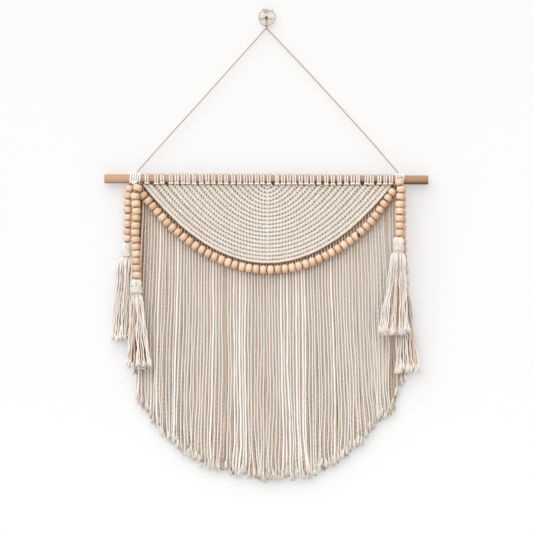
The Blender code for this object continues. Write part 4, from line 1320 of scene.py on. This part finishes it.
class MACRAME_OT_tassels(bpy.types.Operator):
    """Four tassels: a head of folded strands, a wound band, and a loose skirt"""

    bl_idname = "macrame.tassels"
    bl_label = "Tassels"

    def execute(self, context):
        settings = context.scene.macrame_cords
        for tassel in TASSELS:
            uneven = Uneven(SEED + len(tassel.name) + ord(tassel.name[0]))
            self.skirt(tassel, settings, uneven)
            self.head(tassel, uneven)
        return {"FINISHED"}

    def skirt(self, tassel, settings, uneven):
        """The loose strands, those inside first, and the brushed yarn at their ends."""
        skirt = Cords(plies=3, pitch=0.0085, groove=0.18, shade=0.12, flank_shade=0.24)
        inside = Cords(plies=2, pitch=0.0085, groove=0.18, shade=0.15)
        ends = Cords(plies=3, pitch=1.0, groove=0.0, points_per_ply=1)
        clumps = uneven.choice((5, 6))
        for i in range(settings.tassel_strands):
            outer = i >= TASSEL_INNER_SHARE * settings.tassel_strands
            place = (i + 0.5) / settings.tassel_strands
            share = math.sqrt(place) if outer else 0.62 * math.sqrt(uneven.random())
            turn = i * GOLDEN_TURN + uneven.about(0.1)
            turn += (0.65 / clumps) * math.sin(clumps * turn) * outer
            radius = 0.5 * settings.tassel_strand * (uneven.uniform(0.9, 1.25) if outer else 1.3)
            route, tip = self.hanging(tassel, turn, share, radius, uneven)
            # Painted shade: deep on the strands inside the skirt, tan on some outer strands, less at the
            # tips.
            if not outer:
                hollow = tassel.deep * uneven.uniform(0.8, 1.15) * (1 - 0.4 * tip)
            elif uneven.random() < tassel.deep - 0.42:
                hollow = uneven.uniform(0.25, 0.42) * (1 - tip)
            else:
                hollow = uneven.uniform(0, 0.06) * (1 - tip)
            look = {"tone": uneven.random(), "hollow": hollow}
            cords = skirt if outer else inside
            cords.add(route, radius * (1 - 0.2 * tip), start=uneven.random(), **look)
            for _ in range(5 if outer else 3):
                self.end_yarn(ends, Vector(route[-1]), uneven)
        for part, cords in (("skirt", skirt), ("inside", inside), ("ends", ends)):
            piece = cords.piece(f"{tassel.name}_tassel_{part}", "tassel_cotton")
            settle(piece, f"{tassel.name}_tassel")

    def end_yarn(self, ends, place, uneven):
        way = uneven.uniform(0, 6.28)
        out = Vector((math.cos(way), 0.6 * math.sin(way), 0)) * TASSEL_BRUSH * uneven.uniform(0.3, 1)
        root = place + Vector((0, 0, 0.009)) + out * 0.25
        tip = place + out + Vector((0, 0, uneven.uniform(-0.0015, 0.0020)))
        yarn = smooth_route((root, root.lerp(tip, 0.6) - out * 0.15, tip), len(TASSEL_YARN))
        # Painted shade in the loose yarn at the ends.
        ends.add(yarn, TASSEL_YARN, tone=uneven.random(), hollow=uneven.uniform(0, 0.3))

    def head(self, tassel, uneven):
        """Cords folded over the string's end, and the cord wound round them."""
        head_half, neck_half, band_half = (
            np.array(half) * tassel.head for half in (HEAD_HALF, NECK_HALF, BAND_HALF)
        )
        thick = HEAD_CORD_RADIUS
        neck = -HEAD_LENGTH
        top = np.array((tassel.x, tassel.y, tassel.top))
        head = Cords(plies=3, pitch=0.011, groove=0.18, points_per_ply=3, shade=0.10, flank_shade=0.12)
        for i in range(HEAD_CORDS):
            turn = 2 * math.pi * (i + uneven.about(0.2)) / HEAD_CORDS
            way = np.array((math.cos(turn), math.sin(turn)))
            puff = 1 + uneven.uniform(-0.11, 0.04)
            fold = (
                (-0.0006 * way, -thick - 0.0002),
                (way * (0.45 * puff * head_half - thick), -thick - 0.0003),
                (way * (0.80 * puff * head_half - thick), 0.24 * neck),
                (way * (puff * head_half - thick), 0.52 * neck),
                (way * (0.95 * puff * head_half - thick), 0.72 * neck),
                (way * (neck_half - thick), neck - 0.0006),
                (way * (neck_half - thick), neck - 0.0040),
            )
            route = smooth_route([top + (*across, up) for across, up in fold], 22)
            radius = thick * uneven.uniform(0.85, 1.15)
            # Painted shade, a little, on the head's cords.
            look = {"tone": uneven.random(), "hollow": uneven.uniform(0.04, 0.18)}
            head.add(route, radius, start=uneven.random(), **look)
        t = np.linspace(0, 1, 170)
        angle = 2 * np.pi * BAND_TURNS * t
        across, forward = ((half - 0.0001) for half in band_half)
        up = neck - 0.0006 - (BAND_LENGTH - 0.0012) * t + 0.0001 * np.sin(5 * angle / 3)
        wound = top + columns(across * np.cos(angle), forward * np.sin(angle), up)
        band = Cords(plies=3, pitch=0.0080, groove=0.10, shade=0.1)
        band.add(wound, TASSEL_BAND_CORD, tone=0.6, hollow=0.06, side=(0, 0, 1))
        name = tassel.name
        settle(head.piece(f"{name}_tassel_head", "tassel_cotton"), f"{name}_tassel")
        settle(band.piece(f"{name}_wound_band", "tassel_cotton"), f"{name}_band")

    def hanging(self, tassel, turn, share, radius, uneven):
        """One strand's route from the neck to the skirt's end, and how far each point is into its tip."""
        low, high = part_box(f"{tassel.name}_tassel")
        neck_half = [tassel.head * half for half in NECK_HALF]
        top = Vector((tassel.x, tassel.y, tassel.top))
        end = Vector((tassel.end_x, tassel.end_y, tassel.end_z))
        out_x, out_y = share * math.cos(turn), share * math.sin(turn)
        neck_z = top.z - HEAD_LENGTH
        skirt_z = neck_z - BAND_LENGTH
        end_z = end.z + uneven.uniform(0.001, 0.007)
        neck_x, neck_y = top.x + out_x * (neck_half[0] - radius), top.y + out_y * (neck_half[1] - radius)
        points = [(neck_x, neck_y, neck_z), (neck_x, neck_y, skirt_z + 0.001)]
        for part in (0.10, 0.30, 0.50, 0.70, 0.88, 1.0):
            width = tassel.early + (1 - tassel.early) * part**1.2
            centre = top.lerp(end, part)
            wide = max(neck_half[0], tassel.spread * width) - radius
            deep = neck_half[1] + ((high.y - low.y) * 0.45 - neck_half[1]) * width - radius
            x = centre.x + out_x * wide + uneven.about(0.0010)
            y = centre.y + out_y * deep + uneven.about(0.0004)
            points.append((x, y, skirt_z + (end_z - skirt_z) * part))
        route = smooth_route(points, 54)
        t = np.linspace(0, 1, len(route))
        grow = held(t * 3 - 0.5)
        for wave, size in TASSEL_WAVES:
            phase = 2 * np.pi * route[:, 2] / (wave * uneven.uniform(0.7, 1.3)) + uneven.uniform(0, 6.3)
            route[:, 0] += grow * size * uneven.uniform(0.3, 1.0) * np.sin(phase)
        return route, held((t - 0.93) / 0.07)


class MACRAME_PT_pieces(bpy.types.Panel):
    bl_idname = "MACRAME_PT_pieces"
    bl_label = "Macrame wall hanging"
    bl_space_type = "VIEW_3D"
    bl_region_type = "UI"
    bl_category = "Macrame"

    def draw(self, context):
        for operator in OPERATORS:
            self.layout.operator(operator.bl_idname)
        for group in ("macrame_cords", "macrame_beads", "macrame_colours", "macrame_stage"):
            settings = getattr(context.scene, group)
            box = self.layout.box()
            for setting in settings.bl_rna.properties:
                if setting.identifier not in ("rna_type", "name"):
                    box.prop(settings, setting.identifier)


GROUPS = {
    "macrame_cords": MacrameCords,
    "macrame_beads": MacrameBeads,
    "macrame_colours": MacrameColours,
    "macrame_stage": MacrameStage,
}
OPERATORS = (
    MACRAME_OT_stage,
    MACRAME_OT_twine,
    MACRAME_OT_peg,
    MACRAME_OT_rod,
    MACRAME_OT_wraps,
    MACRAME_OT_heading,
    MACRAME_OT_panel,
    MACRAME_OT_fringe,
    MACRAME_OT_beads,
    MACRAME_OT_tassels,
)


def register():
    for name, group in GROUPS.items():
        bpy.utils.register_class(group)
        setattr(bpy.types.Scene, name, PointerProperty(type=group))
    for operator in OPERATORS:
        bpy.utils.register_class(operator)
    bpy.utils.register_class(MACRAME_PT_pieces)


def unregister():
    bpy.utils.unregister_class(MACRAME_PT_pieces)
    for operator in reversed(OPERATORS):
        bpy.utils.unregister_class(operator)
    for name, group in reversed(GROUPS.items()):
        delattr(bpy.types.Scene, name)
        bpy.utils.unregister_class(group)


def main():
    register()
    for operator in OPERATORS:
        group, action = operator.bl_idname.split(".")
        getattr(getattr(bpy.ops, group), action)()


if __name__ == "__main__":
    main()
